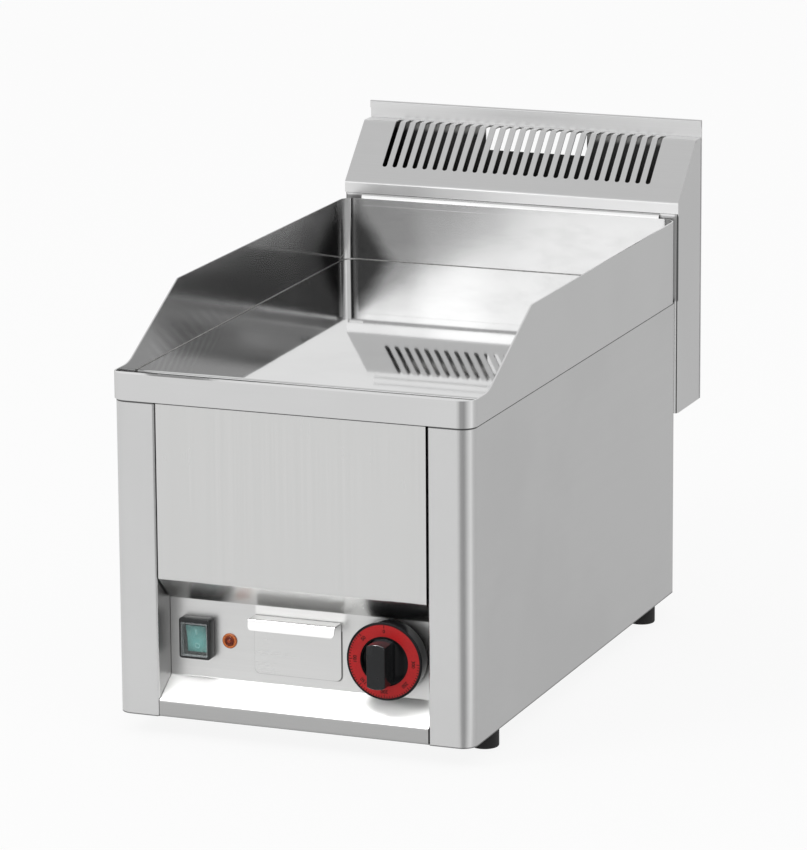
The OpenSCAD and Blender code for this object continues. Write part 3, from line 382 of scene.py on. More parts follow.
def flueShadeAndHighlight(p, axes, colour, rough, v):
    # inside, the flue is rougher and painted in shade, lighter under its top; outside, its lip carries a painted
    # highlight and its slope is painted a little darker
    x, y, z = axes
    low, high = v["cover"]
    thin, thick = 0.6 * mm, 0.9 * mm                       # the sheet's inner face lies between these depths
    under = (z - low.z - v["lip"]) * cos(v["angle"]) - (y - low.y) * sin(v["angle"])
    inside = p.falling(under, -thick, -thin) * p.falling(abs(x), high.x - thick, high.x - thin)
    inside = inside * p.band(y, low.y + thin, low.y + thick, v["rear"] - thick, v["rear"] - thin)
    inside = inside * p.falling(z, high.z - thick, high.z - thin)
    # painted shade inside the flue, lighter towards its top
    insideShade = p.blend(p.rising(z, high.z - 12 * mm, high.z - 7 * mm), grey(0.085), (0.50, 0.50, 0.49, 1))
    colour = p.blend(inside, colour, insideShade)
    lipFace = p.falling(y, low.y + thin, low.y + thick)
    # painted highlight on the lip, strongest along its middle
    wiped = p.rising(x, *v["lipStart"]) * 0.25 + p.band(x, *v["lipMiddle"]) * 0.50 + 0.12
    colour = p.blend(lipFace * wiped, colour, grey(0.98))
    # the slope's outer face is painted a little darker
    slope = p.rising(under, -thin, -thin / 2) * (1 - lipFace)
    return p.blend(slope * 0.08, colour, grey(0)), rough + inside * 0.12


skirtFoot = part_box("griddle_pan")[0].z
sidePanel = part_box("left_side_panel")
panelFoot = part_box("control_panel")[0].z
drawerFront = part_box("drawer_front")
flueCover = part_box("flue_cover")
finish("casingSteel", brushed, tint=(0.655, 0.655, 0.65), grain="Z", rough=0.25, contrast=0.020, cloud=0.985,
       lift=0.06, marks=[(shadowAndGreaseLine, {"skirt": skirtFoot, "depth": 1.2 * mm})])
finish("sideSteel", brushed, tint=(0.65, 0.65, 0.65), grain="Y", rough=0.24, contrast=0.016, cloud=0.93, lift=0.06,
       marks=[(paintedFootShade, {"foot": sidePanel[0].z}), (shadowAndGreaseLine, {"skirt": skirtFoot, "depth": 1.8 * mm}),
              (shadedPosts, {"panel": sidePanel})])
finish("controlSteel", brushed, tint=(0.665, 0.665, 0.66), grain="X", rough=0.33, contrast=0.020, cloud=0.985,
       lift=0.06,
       marks=[(paintedFootShade, {"foot": panelFoot}), (paleSillHighlight, {"low": panelFoot + 14.9 * mm, "high": panelFoot + 31 * mm}),
              (drawerCrackShade, {"front": drawerFront, "corner": 4 * mm}), (ledgeBounceLight, {"front": drawerFront})])
finish("flueSteel", brushed, tint=(0.70, 0.70, 0.70), grain="X", rough=0.32, contrast=0.018, cloud=0.97, lift=0.08,
       marks=[(wallGapShade, {"start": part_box("flue_cheek_right")[0].y, "low": skirtFoot,
                           "high": flueCover[0].z - 3 * mm}),
              (flueShadeAndHighlight, {"cover": flueCover, "lip": 10.3 * mm, "angle": radians(44.6),
                           "rear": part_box("flue_back")[1].y, "lipStart": (-140 * mm, -110 * mm),
                           "lipMiddle": (-100 * mm, -60 * mm, -30 * mm, 90 * mm)})])
finish("drawerSteel", brushed, tint=(0.68, 0.68, 0.675), grain="X", rough=0.28, contrast=0.020, cloud=0.98, lift=0.06)


def panSteel(p, v):
    # brushed outside; inside, the walls are polished smoother and wave a little
    place = p.place()
    x, y, z = p.axes(place)
    inX, backY, tint = v["inX"], v["backY"], v["tint"]
    inside = p.falling(abs(x), inX - 0.4 * mm, inX + 0.4 * mm) * p.falling(y, backY - 0.4 * mm, backY + 0.4 * mm)
    behind = p.rising(y, backY - 2 * mm, backY - 1.2 * mm)
    backWall = behind * inside
    leftWall = inside * p.falling(x, 2.2 * mm - inX, 3 * mm - inX)
    fine = p.noise(place, (7, 1100, 1100), 3.0, 0.6)
    side = p.noise(place, (1100, 7, 1100), 3.0, 0.6)
    cloud = p.noise(place, (11, 11, 11), 3.0, 0.5)
    wave = p.noise(place, (22, 22, 16), 1.0, 0.5)
    smudge = p.noise(place, (13, 30, 30), 4.0, 0.62, (0, 0.35, 0))
    streak = fine * 0.5 + side * 0.5
    colour = p.blend(p.rising(streak, 0.3, 0.7), shade(tint, 0.985), shade(tint, 1.015))
    colour = p.blend(p.rising(cloud, 0.35, 0.7) * 0.4, colour, shade(tint, 0.95))
    # the back wall is smudged, painted lighter all over, and carries a painted highlight left of its middle
    colour = p.blend(backWall * p.rising(smudge, 0.45, 0.70) * 0.30, colour, shade(tint, 0.62))
    colour = p.blend(backWall * 0.16, colour, grey(0.95))
    colour = p.blend(backWall * p.band(x, *v["wiped"]) * 0.45, colour, grey(0.98))
    # painted shade: the left wall is painted darker than the rest
    colour = p.blend(leftWall, colour, shade(tint, 0.72))
    # painted reflection: slanting pale streaks of the flue's slots near the front of the left wall
    rise = z - v["seam"]
    slotReflection = p.wave((y + z * v["rippleSlant"] + (smudge - 0.5) * 6 * mm) * (2 * pi / v["ripplePitch"]))
    patch = p.band(y, *v["rippleRun"]) * p.falling(rise, *v["rippleRise"])
    colour = p.blend(leftWall * patch * p.rising(slotReflection, -0.9, 1.0) * 0.13, colour, grey(0.96))
    # painted shade that narrows up the back wall from its left corner
    spread = x + inX + rise * v["stainSlope"] + (smudge - 0.5) * 20 * mm
    colour = p.blend(backWall * p.falling(spread, *v["stain"]) * 0.92, colour, shade(tint, 0.10))
    inner = 0.09 + behind * 0.13 + leftWall * 0.015
    rough = (0.24 * (1 - inside)) + inner * inside + (streak - 0.5) * 0.06 + (cloud - 0.5) * 0.05
    # the left wall is drawn a few degrees out of square by its weld
    facing = p.add("ShaderNodeNewGeometry", out=1)
    pull = p.add("ShaderNodeCombineXYZ", values={"Y": leftWall * v["wallPull"]})
    drawn = p.add("ShaderNodeVectorMath", {"operation": "ADD"}, {0: facing, 1: pull})
    drawn = p.add("ShaderNodeVectorMath", {"operation": "NORMALIZE"}, {0: drawn})
    grainBump = p.bump(0.06, 0.02 * mm, streak, Normal=drawn)
    bump = p.bump(0.12, 0.6 * mm, wave * inside, Normal=grainBump)
    return {"Base Color": colour, "Metallic": 1.0, "Roughness": rough, "Normal": bump}


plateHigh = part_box("griddle_plate")[1]
finish("panSteel", panSteel, tint=(0.67, 0.67, 0.67), inX=plateHigh.x + 0.6 * mm, backY=plateHigh.y + 0.6 * mm,
       seam=plateHigh.z, wiped=(-105 * mm, -75 * mm, -50 * mm, 0.0),
       rippleRun=(-236 * mm, -190 * mm, -120 * mm, -10 * mm), rippleRise=(6 * mm, 32 * mm), rippleSlant=1.49,
       ripplePitch=17 * mm, stain=(32 * mm, 58 * mm), stainSlope=0.62, wallPull=-0.087)


def mirrorPlate(p, v):
    # ground and polished: a mirror with faint scratches, slight heat tints and a burnt line at its edges
    place = p.place()
    x, y, z = p.axes(place)
    cloud = p.noise(place, (14, 14, 14), 3.0, 0.55)
    scratch = p.noise(place, (900, 9, 60), 2.0, 0.6, (0, 0, 0.5))
    cross = p.noise(place, (8, 700, 60), 2.0, 0.6, (0, 0, 0.2))
    lines = p.rising(scratch, 0.60, 0.80) * 0.5 + p.rising(cross, 0.62, 0.82) * 0.5
    colour = p.blend(p.rising(cloud, 0.35, 0.72), shade(v["tint"]), shade(v["tint"], 0.955))
    reach = p.larger(abs(x) - v["high"].x, y - v["high"].y)
    burnt = p.rising(reach, -1.9 * mm, -1.2 * mm)
    colour = p.blend(burnt * 0.8, colour, (0.07, 0.065, 0.06, 1))
    rough = v["rough"] + (cloud - 0.5) * 0.02 + lines * 0.05 + burnt * 0.2
    wave = p.noise(place, (16, 16, 16), 1.0, 0.4)
    bump = p.bump(0.06, 0.4 * mm, wave)
    return {"Base Color": colour, "Metallic": 1.0, "Roughness": rough, "Normal": bump}


finish("mirrorPlate", mirrorPlate, tint=(0.70, 0.702, 0.702), rough=0.035, high=plateHigh)


def zincPlated(p, v):
    # dull plating: crystal patches and small dark specks
    place = p.place()
    flakes = p.add("ShaderNodeTexVoronoi", {"feature": "F1"}, {"Vector": place, "Scale": 95.0}, out=1)
    patch = p.axes(flakes)[0]
    speck = p.noise(place, (420, 420, 420), 2.0, 0.6)
    cloud = p.noise(place, (30, 30, 30), 3.0, 0.55)
    colour = p.blend(patch, shade(v["tint"], 0.86), shade(v["tint"], 1.1))
    colour = p.blend(p.rising(speck, 0.62, 0.75) * 0.5, colour, shade(v["tint"], 0.6))
    rough = v["rough"] + patch * 0.12 + (cloud - 0.5) * 0.2
    return {"Base Color": colour, "Metallic": 1.0, "Roughness": rough, "Normal": p.bump(0.2, 0.05 * mm, speck)}


finish("zincSteel", zincPlated, tint=(0.56, 0.58, 0.60), rough=0.38)
finish("screwSteel", zincPlated, tint=(0.62, 0.63, 0.64), rough=0.26)
finish("heatedSheath", zincPlated, tint=(0.26, 0.24, 0.23), rough=0.5)


def moulding(p, v):
    # moulded plastic, rubber or ceramic: fine texture, slight sheen changes, dust in the grain
    place = p.place()
    grain = p.noise(place, (v["grain"],) * 3, 2.0, 0.6)
    cloud = p.noise(place, (60, 60, 60), 3.0, 0.5)
    colour = p.blend(p.rising(cloud, 0.35, 0.7), shade(v["tint"], 0.88), shade(v["tint"], 1.15))
    colour = p.blend(p.rising(grain, 0.6, 0.78) * v["dust"], colour, (0.22, 0.22, 0.21, 1))
    rough = v["rough"] + (grain - 0.5) * 0.12 + (cloud - 0.5) * 0.14
    bump = p.bump(v["lift"], 0.06 * mm, grain)
    return {"Base Color": colour, "Metallic": 0.0, "Roughness": rough, "Normal": bump, "Specular IOR Level": v["gloss"]}


finish("knobBlack", moulding, tint=(0.0033, 0.0033, 0.0036), rough=0.13, grain=1800, dust=0.004, lift=0.06, gloss=0.10)
finish("gripBlack", moulding, tint=(0.0055, 0.0057, 0.006), rough=0.15, grain=1800, dust=0.006, lift=0.06, gloss=0.20)
finish("switchBlack", moulding, tint=(0.010, 0.0105, 0.011), rough=0.22, grain=2200, dust=0.02, lift=0.12, gloss=0.35)
finish("glandBlack", moulding, tint=(0.024, 0.024, 0.026), rough=0.5, grain=1500, dust=0.08, lift=0.3, gloss=0.4)
finish("footRubber", moulding, tint=(0.022, 0.022, 0.022), rough=0.62, grain=1200, dust=0.10, lift=0.45, gloss=0.3)
finish("ceramicWhite", moulding, tint=(0.78, 0.76, 0.70), rough=0.55, grain=900, dust=0.05, lift=0.3, gloss=0.4)
finish("markBlack", moulding, tint=(0.014, 0.003, 0.003), rough=0.4, grain=1800, dust=0.0, lift=0.05, gloss=0.15)
finish("rockerMark", moulding, tint=(0.20, 0.42, 0.40), rough=0.3, grain=1800, dust=0.0, lift=0.05, gloss=0.4)


def redRing(p, v):
    # printed ring under clear lacquer: mottled ink, a dark line at both edges
    place = p.place()
    x, y, z = p.axes(place)
    reach = p.reach(x - v["centre"].x, z - v["centre"].z)
    edge = p.rising(reach, v["outer"] - 0.7 * mm, v["outer"] - 0.2 * mm)
    edge = edge + p.rising(reach, v["inner"] + 0.7 * mm, v["inner"] + 0.2 * mm)
    ink = p.noise(place, (700, 700, 700), 3.0, 0.6)
    cloud = p.noise(place, (55, 55, 55), 2.0, 0.5)
    colour = p.blend(p.rising(ink, 0.3, 0.75), (0.50, 0.013, 0.014, 1), (0.40, 0.010, 0.012, 1))
    colour = p.blend(p.rising(cloud, 0.35, 0.7) * 0.35, colour, (0.33, 0.009, 0.011, 1))
    colour = p.blend(edge * 0.75, colour, (0.10, 0.006, 0.007, 1))
    rough = 0.30 + (ink - 0.5) * 0.1 + (cloud - 0.5) * 0.08
    bump = p.bump(0.08, 0.04 * mm, ink)
    return {"Base Color": colour, "Metallic": 0.0, "Roughness": rough, "Normal": bump, "Specular IOR Level": 0.25}


ringLow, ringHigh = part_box("dial_ring")
ringOuter = (ringHigh.x - ringLow.x) / 2
finish("dialRed", redRing, centre=(ringLow + ringHigh) / 2, outer=ringOuter, inner=ringOuter - 10.9 * mm)


def rockerPlastic(p, v):
    # translucent coloured moulding: painted shade deepens it towards the edges; lighter where the lamp sits behind it
    place = p.place()
    x, y, z = p.axes(place)
    reach = p.reach((x - v["centre"].x) / v["glow"][0], (z - v["centre"].z) / v["glow"][1])
    cloud = p.noise(place, (260, 260, 260), 2.0, 0.5)
    colour = p.blend(p.rising(reach, 0.3, 1.25), (0.066, 0.245, 0.232, 1), (0.024, 0.122, 0.114, 1))
    colour = p.blend(p.rising(cloud, 0.4, 0.7) * 0.3, colour, (0.095, 0.28, 0.255, 1))
    rough = 0.16 + (cloud - 0.5) * 0.10
    bump = p.bump(0.1, 0.05 * mm, cloud)
    return {"Base Color": colour, "Metallic": 0.0, "Roughness": rough, "Normal": bump, "Specular IOR Level": 0.4}


rockerLow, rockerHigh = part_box("switch_rocker")
finish("rockerTeal", rockerPlastic, centre=(rockerLow + rockerHigh) / 2, glow=(10 * mm, 12.5 * mm))


def clearMoulding(p, v):
    # thin clear cover: nearly see-through, hazier and greyer at its border
    place = p.place()
    x, y, z = p.axes(place)
    across = abs(x - v["centre"].x) / v["half"].x
    upward = abs(z - v["centre"].z) / v["half"].z
    border = p.rising(p.larger(across, upward), 0.91, 0.99)
    haze = p.noise(place, (160, 160, 160), 3.0, 0.5)
    colour = p.blend(border, (0.75, 0.82, 0.81, 1), (0.30, 0.32, 0.33, 1))
    clear = 0.03 + border * 0.32 + p.rising(haze, 0.5, 0.8) * 0.03
    rough = 0.07 + (haze - 0.5) * 0.06
    return {"Base Color": colour, "Metallic": 0.0, "Roughness": rough, "Alpha": clear, "Coat Weight": 0.3}


coverLow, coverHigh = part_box("switch_cover")
finish("clearCover", clearMoulding, centre=(coverLow + coverHigh) / 2, half=(coverHigh - coverLow) / 2)


def lampPlastic(p, v):
    # amber lens: dark middle where no light burns, rings of the moulded prisms, warm rim
    place = p.place()
    x, y, z = p.axes(place)
    reach = p.reach(x - v["centre"].x, z - v["centre"].z) / v["radius"]
    rings = p.wave(reach * 26.0)
    mottle = p.noise(place, (500, 500, 500), 2.0, 0.6)
    colour = p.add("ShaderNodeValToRGB", {"stops": v["ambers"]}, {0: reach})
    colour = p.blend(p.rising(mottle, 0.4, 0.75) * 0.4, colour, (0.16, 0.022, 0.010, 1))
    rough = 0.14 + (mottle - 0.5) * 0.1
    bump = p.bump(0.35, 0.2 * mm, rings)
    return {"Base Color": colour, "Metallic": 0.0, "Roughness": rough, "Normal": bump, "Specular IOR Level": 0.22}


lampLow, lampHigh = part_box("lamp_lens")
finish("lampAmber", lampPlastic, centre=(lampLow + lampHigh) / 2, radius=(lampHigh.x - lampLow.x) / 2,
       ambers=[(0.0, (0.18, 0.028, 0.007)), (0.16, (0.25, 0.042, 0.010)), (0.30, (0.065, 0.008, 0.003)),
               (0.58, (0.11, 0.015, 0.005)), (0.80, (0.46, 0.14, 0.04)), (1.0, (0.28, 0.08, 0.03))])


def fibre(p, v):
    # pressed mineral fibre: pale tufts and short strands
    place = p.place()
    strands = p.noise(place, (500, 60, 500), 4.0, 0.7)
    tufts = p.noise(place, (45, 45, 45), 4.0, 0.6)
    colour = p.blend(p.rising(tufts, 0.3, 0.7), (0.68, 0.64, 0.54, 1), (0.83, 0.80, 0.72, 1))
    bump = p.bump(0.8, 1 * mm, strands * 0.5 + tufts)
    return {"Base Color": colour, "Metallic": 0.0, "Roughness": 0.85 + (strands - 0.5) * 0.1, "Normal": bump}


finish("fibreMat", fibre)


def drawnMetal(p, v):
    # copper or brass: dulled by handling, brighter where it is rubbed
    place = p.place()
    cloud = p.noise(place, (120, 120, 120), 3.0, 0.6)
    spot = p.noise(place, (900, 900, 900), 2.0, 0.6)
    colour = p.blend(p.rising(cloud, 0.35, 0.7), shade(v["tint"]), shade(v["tint"], 0.72))
    rough = 0.3 + (cloud - 0.5) * 0.25 + (spot - 0.5) * 0.1
    return {"Base Color": colour, "Metallic": 1.0, "Roughness": rough, "Normal": p.bump(0.15, 0.04 * mm, spot)}


finish("copperTube", drawnMetal, tint=(0.70, 0.40, 0.27))
finish("studBrass", drawnMetal, tint=(0.72, 0.56, 0.28))


def weldBead(p, v):
    # dressed seam: close ripples
    place = p.place()
    slotReflection = p.noise(place, (420, 420, 420), 2.0, 0.6)
    cloud = p.noise(place, (60, 60, 60), 2.0, 0.5)
    colour = p.blend(p.rising(slotReflection, 0.3, 0.7), (0.62, 0.62, 0.61, 1), (0.40, 0.395, 0.39, 1))
    rough = 0.34 + (slotReflection - 0.5) * 0.2 + (cloud - 0.5) * 0.1
    return {"Base Color": colour, "Metallic": 1.0, "Roughness": rough, "Normal": p.bump(0.5, 0.2 * mm, slotReflection)}


finish("seamWeld", weldBead)

nodeFinish = {
    "casingSteel": ["front_panel", "rear_panel"],
    "sideSteel": ["left_side_panel", "right_side_panel"],
    "controlSteel": ["control_panel"],
    "panSteel": ["griddle_pan", "grease_gutter", "drain_spout"],
    "mirrorPlate": ["griddle_plate"],
    "flueSteel": ["flue_cover", "flue_cheek_left", "flue_cheek_right", "flue_back", "flue_front_wall"],
    "drawerSteel": ["drawer_front", "drawer_tray"],
    "zincSteel": ["base_plate", "plate_studs", "element_clamps", "insulation_tray", "thermostat_shaft", "bulb_clip",
                  "drawer_guide", "flue_spacers"],
    "screwSteel": ["clamp_nuts", "thermostat_screws", "flue_screws", "rear_screws", "foot_screws", "foot_nuts"],
    "heatedSheath": ["heating_element_left", "heating_element_middle", "heating_element_right"],
    "fibreMat": ["insulation_mat"],
    "ceramicWhite": ["thermostat_body", "safety_limiter", "terminal_block"],
    "copperTube": ["thermostat_bulb", "thermostat_capillary"],
    "knobBlack": ["knob_skirt", "knob_grip"],
    "dialRed": ["dial_ring"],
    "switchBlack": ["switch_frame", "switch_body", "lamp_body", "lamp_nut", "limiter_cap"],
    "rockerTeal": ["switch_rocker"],
    "clearCover": ["switch_cover"],
    "lampAmber": ["lamp_lens"],
    "glandBlack": ["cable_gland", "gland_nut"],
    "studBrass": ["earth_stud"],
    "footRubber": ["foot_front_left", "foot_front_right", "foot_rear_left", "foot_rear_right"],
}
for name, members in nodeFinish.items():
    for member in members:
        for holder in nodes[member].material_slots:
            holder.material = finishes[name]
print("finishes given to", sum(len(m) for m in nodeFinish.values()), "nodes")


def choose(*pieces):
    # deselects everything, then selects the given pieces
    for thing in list(bpy.context.selected_objects):
        thing.select_set(False)
    for piece in pieces:
        piece.select_set(True)
    if pieces:
        bpy.context.view_layer.objects.active = pieces[0]


def editing(on):
    bpy.ops.object.mode_set(mode="EDIT" if on else "OBJECT")


def pick(kind, test):
    # in edit mode, leaves selected only the vertices or edges whose ends pass the test
    mesh = bmesh.from_edit_mesh(bpy.context.object.data)
    bpy.ops.mesh.select_mode(type=kind)
    for part in mesh.verts if kind == "VERT" else mesh.edges:
        ends = [part.co] if kind == "VERT" else [end.co for end in part.verts]
        part.select_set(bool(test(*ends)))
    mesh.select_flush_mode()
    bmesh.update_edit_mesh(bpy.context.object.data)


def settle(piece):
    # place, turn and size go into the mesh
    choose(piece)
    bpy.ops.object.transform_apply(location=True, rotation=True, scale=True)


def addBlock(name, low, high):
    choose()
    low, high = Vector(low), Vector(high)
    bpy.ops.mesh.primitive_cube_add(size=1, location=(low + high) / 2, scale=high - low)
    bpy.context.object.name = name
    settle(bpy.context.object)
    return bpy.context.object


def addBar(name, centre, radius, length, axis, corners):
    choose()
    turned = {"Y": (-pi / 2, 0, 0), "Z": (0, 0, 0)}[axis]
    bpy.ops.mesh.primitive_cylinder_add(vertices=corners, radius=radius, depth=length, location=centre, rotation=turned)
    bpy.context.object.name = name
    settle(bpy.context.object)
    return bpy.context.object


def useModifier(piece, kind, **settings):
    choose(piece)
    made = piece.modifiers.new(kind.lower(), kind)
    for key, value in settings.items():
        setattr(made, key, value)
    bpy.ops.object.modifier_apply(modifier=made.name)


def smooth(piece, angle=32):
    choose(piece)
    bpy.ops.object.shade_smooth_by_angle(angle=radians(angle))


def soften(piece, width, segments, angle):
    useModifier(piece, "BEVEL", width=width, segments=segments, limit_method="ANGLE", angle_limit=radians(angle))
    smooth(piece)


def cutAway(piece, cutter, operation="DIFFERENCE"):
    useModifier(piece, "BOOLEAN", operation=operation, solver="EXACT", object=cutter)
    bpy.data.objects.remove(cutter, do_unlink=True)


def turnProfile(name, profile, centre, steps):
    # a point drawn out along the profile of radius and depth, then spun about an axis along Y
    choose()
    bpy.ops.mesh.primitive_plane_add(size=1 * mm, location=(0, 0, 0))
    piece = bpy.context.object
    piece.name = name
    editing(True)
    bpy.ops.mesh.select_mode(type="VERT")
    bpy.ops.mesh.select_all(action="SELECT")
    bpy.ops.mesh.merge(type="CENTER")
    radius, depth = profile[0]
    bpy.ops.transform.translate(value=(radius, depth, 0))
    for nextRadius, nextDepth in profile[1:]:
        step = (nextRadius - radius, nextDepth - depth, 0)
        bpy.ops.mesh.extrude_region_move(TRANSFORM_OT_translate={"value": step})
        radius, depth = nextRadius, nextDepth
    bpy.ops.mesh.select_all(action="SELECT")
    bpy.ops.mesh.spin(steps=steps, angle=2 * pi, center=(0, 0, 0), axis=(0, 1, 0))
    bpy.ops.mesh.select_all(action="SELECT")
    bpy.ops.mesh.remove_doubles(threshold=0.002 * mm)
    bpy.ops.mesh.normals_make_consistent(inside=False)
    editing(False)
    piece.location = centre
    settle(piece)
    return piece


def joined(name, parts):
    choose(*parts)
    bpy.ops.object.join()
    bpy.context.object.name = name
    return bpy.context.object


def frontMiddle(low, high):
    return Vector(((low.x + high.x) / 2, low.y, (low.z + high.z) / 2))


def dress(piece, finishName, body, slot, *replaced):
    piece.data.materials.clear()
    piece.data.materials.append(finishes[finishName])
    if body != "body" or replaced:
        litByStrip.objects.link(piece)
    if piece.name in ("knobSkirt", "knobGrip"):
        litByGlints.objects.link(piece)
    if body == "knob":
        clearOfStrip.objects.link(piece)
        clearOfStrip.collection_objects[-1].light_linking.link_state = "EXCLUDE"
    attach(piece, body)
    if replaced:
        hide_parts(*replaced)


knob = {"rimRound": 0.9 * mm, "skirtTaper": 1.5 * mm, "backRound": 0.6 * mm, "wall": 2.5 * mm, "rim": 2.0 * mm,
        "rimLip": 0.1 * mm, "ringInner": 21.9 * mm, "ringDepth": 0.8 * mm, "beadWidth": 0.8 * mm, "beadDepth": 0.4 * mm,
        "faceDrop": 1.2 * mm, "hollowDepth": 5.5 * mm, "hollowRadius": 11 * mm, "hollowTuck": 0.8 * mm,
        "hollowGap": 1.2 * mm, "stepOut": 2 * mm, "stepIn": 1 * mm, "bossRadius": 6.5 * mm, "bossEnd": 1.6 * mm,
        "gripRound": 1.68 * mm}


def buildKnob(v):
    low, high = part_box("knob_skirt")
    centre = frontMiddle(low, high)
    gripLow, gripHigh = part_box("knob_grip")
    outer = (high.x - low.x) / 2
    depth = high.y - low.y
    ringInner, ringOuter = v["ringInner"], outer - v["rim"]
    back = outer - v["skirtTaper"]
    floor, pocket = v["faceDrop"] + v["wall"], v["hollowDepth"] + v["wall"]
    # face and its raised bead, ring seat, rim, tapered side, hollow back, boss
    skirt = turnProfile("knobSkirt", [
        (0, v["faceDrop"]), (ringInner - v["beadWidth"], v["faceDrop"]), (ringInner - v["beadWidth"], v["beadDepth"]),
        (ringInner, v["ringDepth"]), (ringOuter, v["ringDepth"]), (ringOuter, v["rimLip"]), (outer - v["rimRound"], 0),
        (outer - 0.35 * v["rimRound"], 0.25 * v["rimRound"]), (outer, v["rimRound"]), (back, depth - v["backRound"]),
        (back - v["backRound"], depth), (back - v["wall"], depth), (outer - v["wall"] - v["rim"], floor),
        (ringInner + v["stepOut"], floor), (ringInner + v["stepIn"], pocket), (v["bossRadius"], pocket),
        (v["bossRadius"], depth - v["bossEnd"]), (0, depth - v["bossEnd"])], centre, 128)
    gripHalf = (gripHigh.x - gripLow.x) / 2
    for side in (-1, 1):                                   # finger hollows beside the grip
        across = centre.x + side * (gripHalf + v["hollowRadius"] - v["hollowTuck"])
        along = centre.y + v["hollowDepth"] - v["hollowRadius"]
        scoop = addBar("scoop", (across, along, centre.z), v["hollowRadius"], 2 * ringInner, "Z", 96)
        reach = addBar("reach", centre, ringInner - v["hollowGap"], 2 * depth, "Y", 96)
        cutAway(scoop, reach, "INTERSECT")
        cutAway(skirt, scoop)
    smooth(skirt, 28)
    dress(skirt, "knobBlack", "knob", "knob_black", "knob_skirt")

    radius = (gripHigh.z - gripLow.z) / 2
    middle = Vector((centre.x, (gripLow.y + gripHigh.y) / 2, centre.z))
    grip = addBar("knobGrip", middle, radius, gripHigh.y - gripLow.y, "Y", 160)
    editing(True)
    for side in (-1, 1):
        bpy.ops.mesh.select_all(action="SELECT")
        bpy.ops.mesh.bisect(plane_co=(centre.x + side * gripHalf, 0, 0), plane_no=(side, 0, 0), use_fill=True,
                            clear_outer=True)
    editing(False)
    soften(grip, v["gripRound"], 4, 40)
    useModifier(grip, "WEIGHTED_NORMAL", keep_sharp=True)
    dress(grip, "gripBlack", "knob", "knob_black", "knob_grip")


buildKnob(knob)
print("knob ready")

dial = {"numbers": {0: "0", 45: "50", 90: "100", 135: "150", 180: "200", 225: "250", 270: "300"}, "size": 4.4 * mm,
        "boldness": 0.09 * mm, "numberRadius": 25.2 * mm, "proud": 0.06 * mm, "tickOuter": 32.3 * mm,
        "tickWidth": 0.62 * mm, "tickLength": 1.8 * mm, "longTick": 2.9 * mm,
        # degrees
        "firstTick": 45, "lastTick": 270, "tickStep": 4.5, "longEvery": 45}


def buildDial(v):
    centre = frontMiddle(*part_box("dial_ring"))

    def setRound(mark, angle, radius):
        # from upright at the origin to its place round the dial
        turned = Matrix.Rotation(-radians(angle), 4, "Y") @ Matrix.Translation((0, 0, radius))
        mark.matrix_world = Matrix.Translation(centre) @ turned @ mark.matrix_world
        settle(mark)
        return mark

    numbers = []
    for angle, number in v["numbers"].items():
        choose()
        bpy.ops.object.text_add(location=(0, 0, 0), rotation=(pi / 2, 0, 0))
        text = bpy.context.object
        text.data.body = number
        text.data.size = v["size"]
        text.data.align_x = "CENTER"
        text.data.extrude = v["proud"]
        text.data.offset = v["boldness"]
        bpy.ops.object.convert(target="MESH")
        numbers.append(setRound(bpy.context.object, angle, v["numberRadius"]))
    dress(joined("dialNumbers", numbers), "markBlack", "knob", "knob_black")

    ticks = []
    count = round((v["lastTick"] - v["firstTick"]) / v["tickStep"])
    for angle in [0] + [v["firstTick"] + k * v["tickStep"] for k in range(count + 1)]:
        length = v["longTick"] if angle % v["longEvery"] == 0 else v["tickLength"]
        choose()
        bpy.ops.mesh.primitive_cube_add(size=1, location=(0, 0, 0), scale=(v["tickWidth"], 2 * v["proud"], length))
        ticks.append(setRound(bpy.context.object, angle, v["tickOuter"] - length / 2))
    dress(joined("dialTicks", ticks), "markBlack", "knob", "knob_black")


buildDial(dial)
print("dial marks ready")

switch = {"cornerRound": 2.5 * mm, "edgeRound": 0.6 * mm, "wellSide": 2.4 * mm, "wellTop": 3.95 * mm,
          "wellBottom": 2.45 * mm, "wellBeyond": 10 * mm, "rockerSize": (18.4 * mm, 5 * mm, 24.6 * mm),
          "rockerSeat": 5.3 * mm, "rockerSwing": 18, "rockerRound": 0.7 * mm, "rows": 10, "hollow": 1.3 * mm,
          "hollowFall": 1.6,
          # marks on the paddle, in from its front face: ring and upright stroke
          "ringDepth": 0.55 * mm, "ringHeight": -6.4 * mm, "ringRadius": 2.2 * mm, "ringWire": 0.28 * mm,
          "strokeHalf": 0.3 * mm, "strokeDepth": (0.1 * mm, 0.9 * mm), "strokeHeight": (4.2 * mm, 8.8 * mm)}


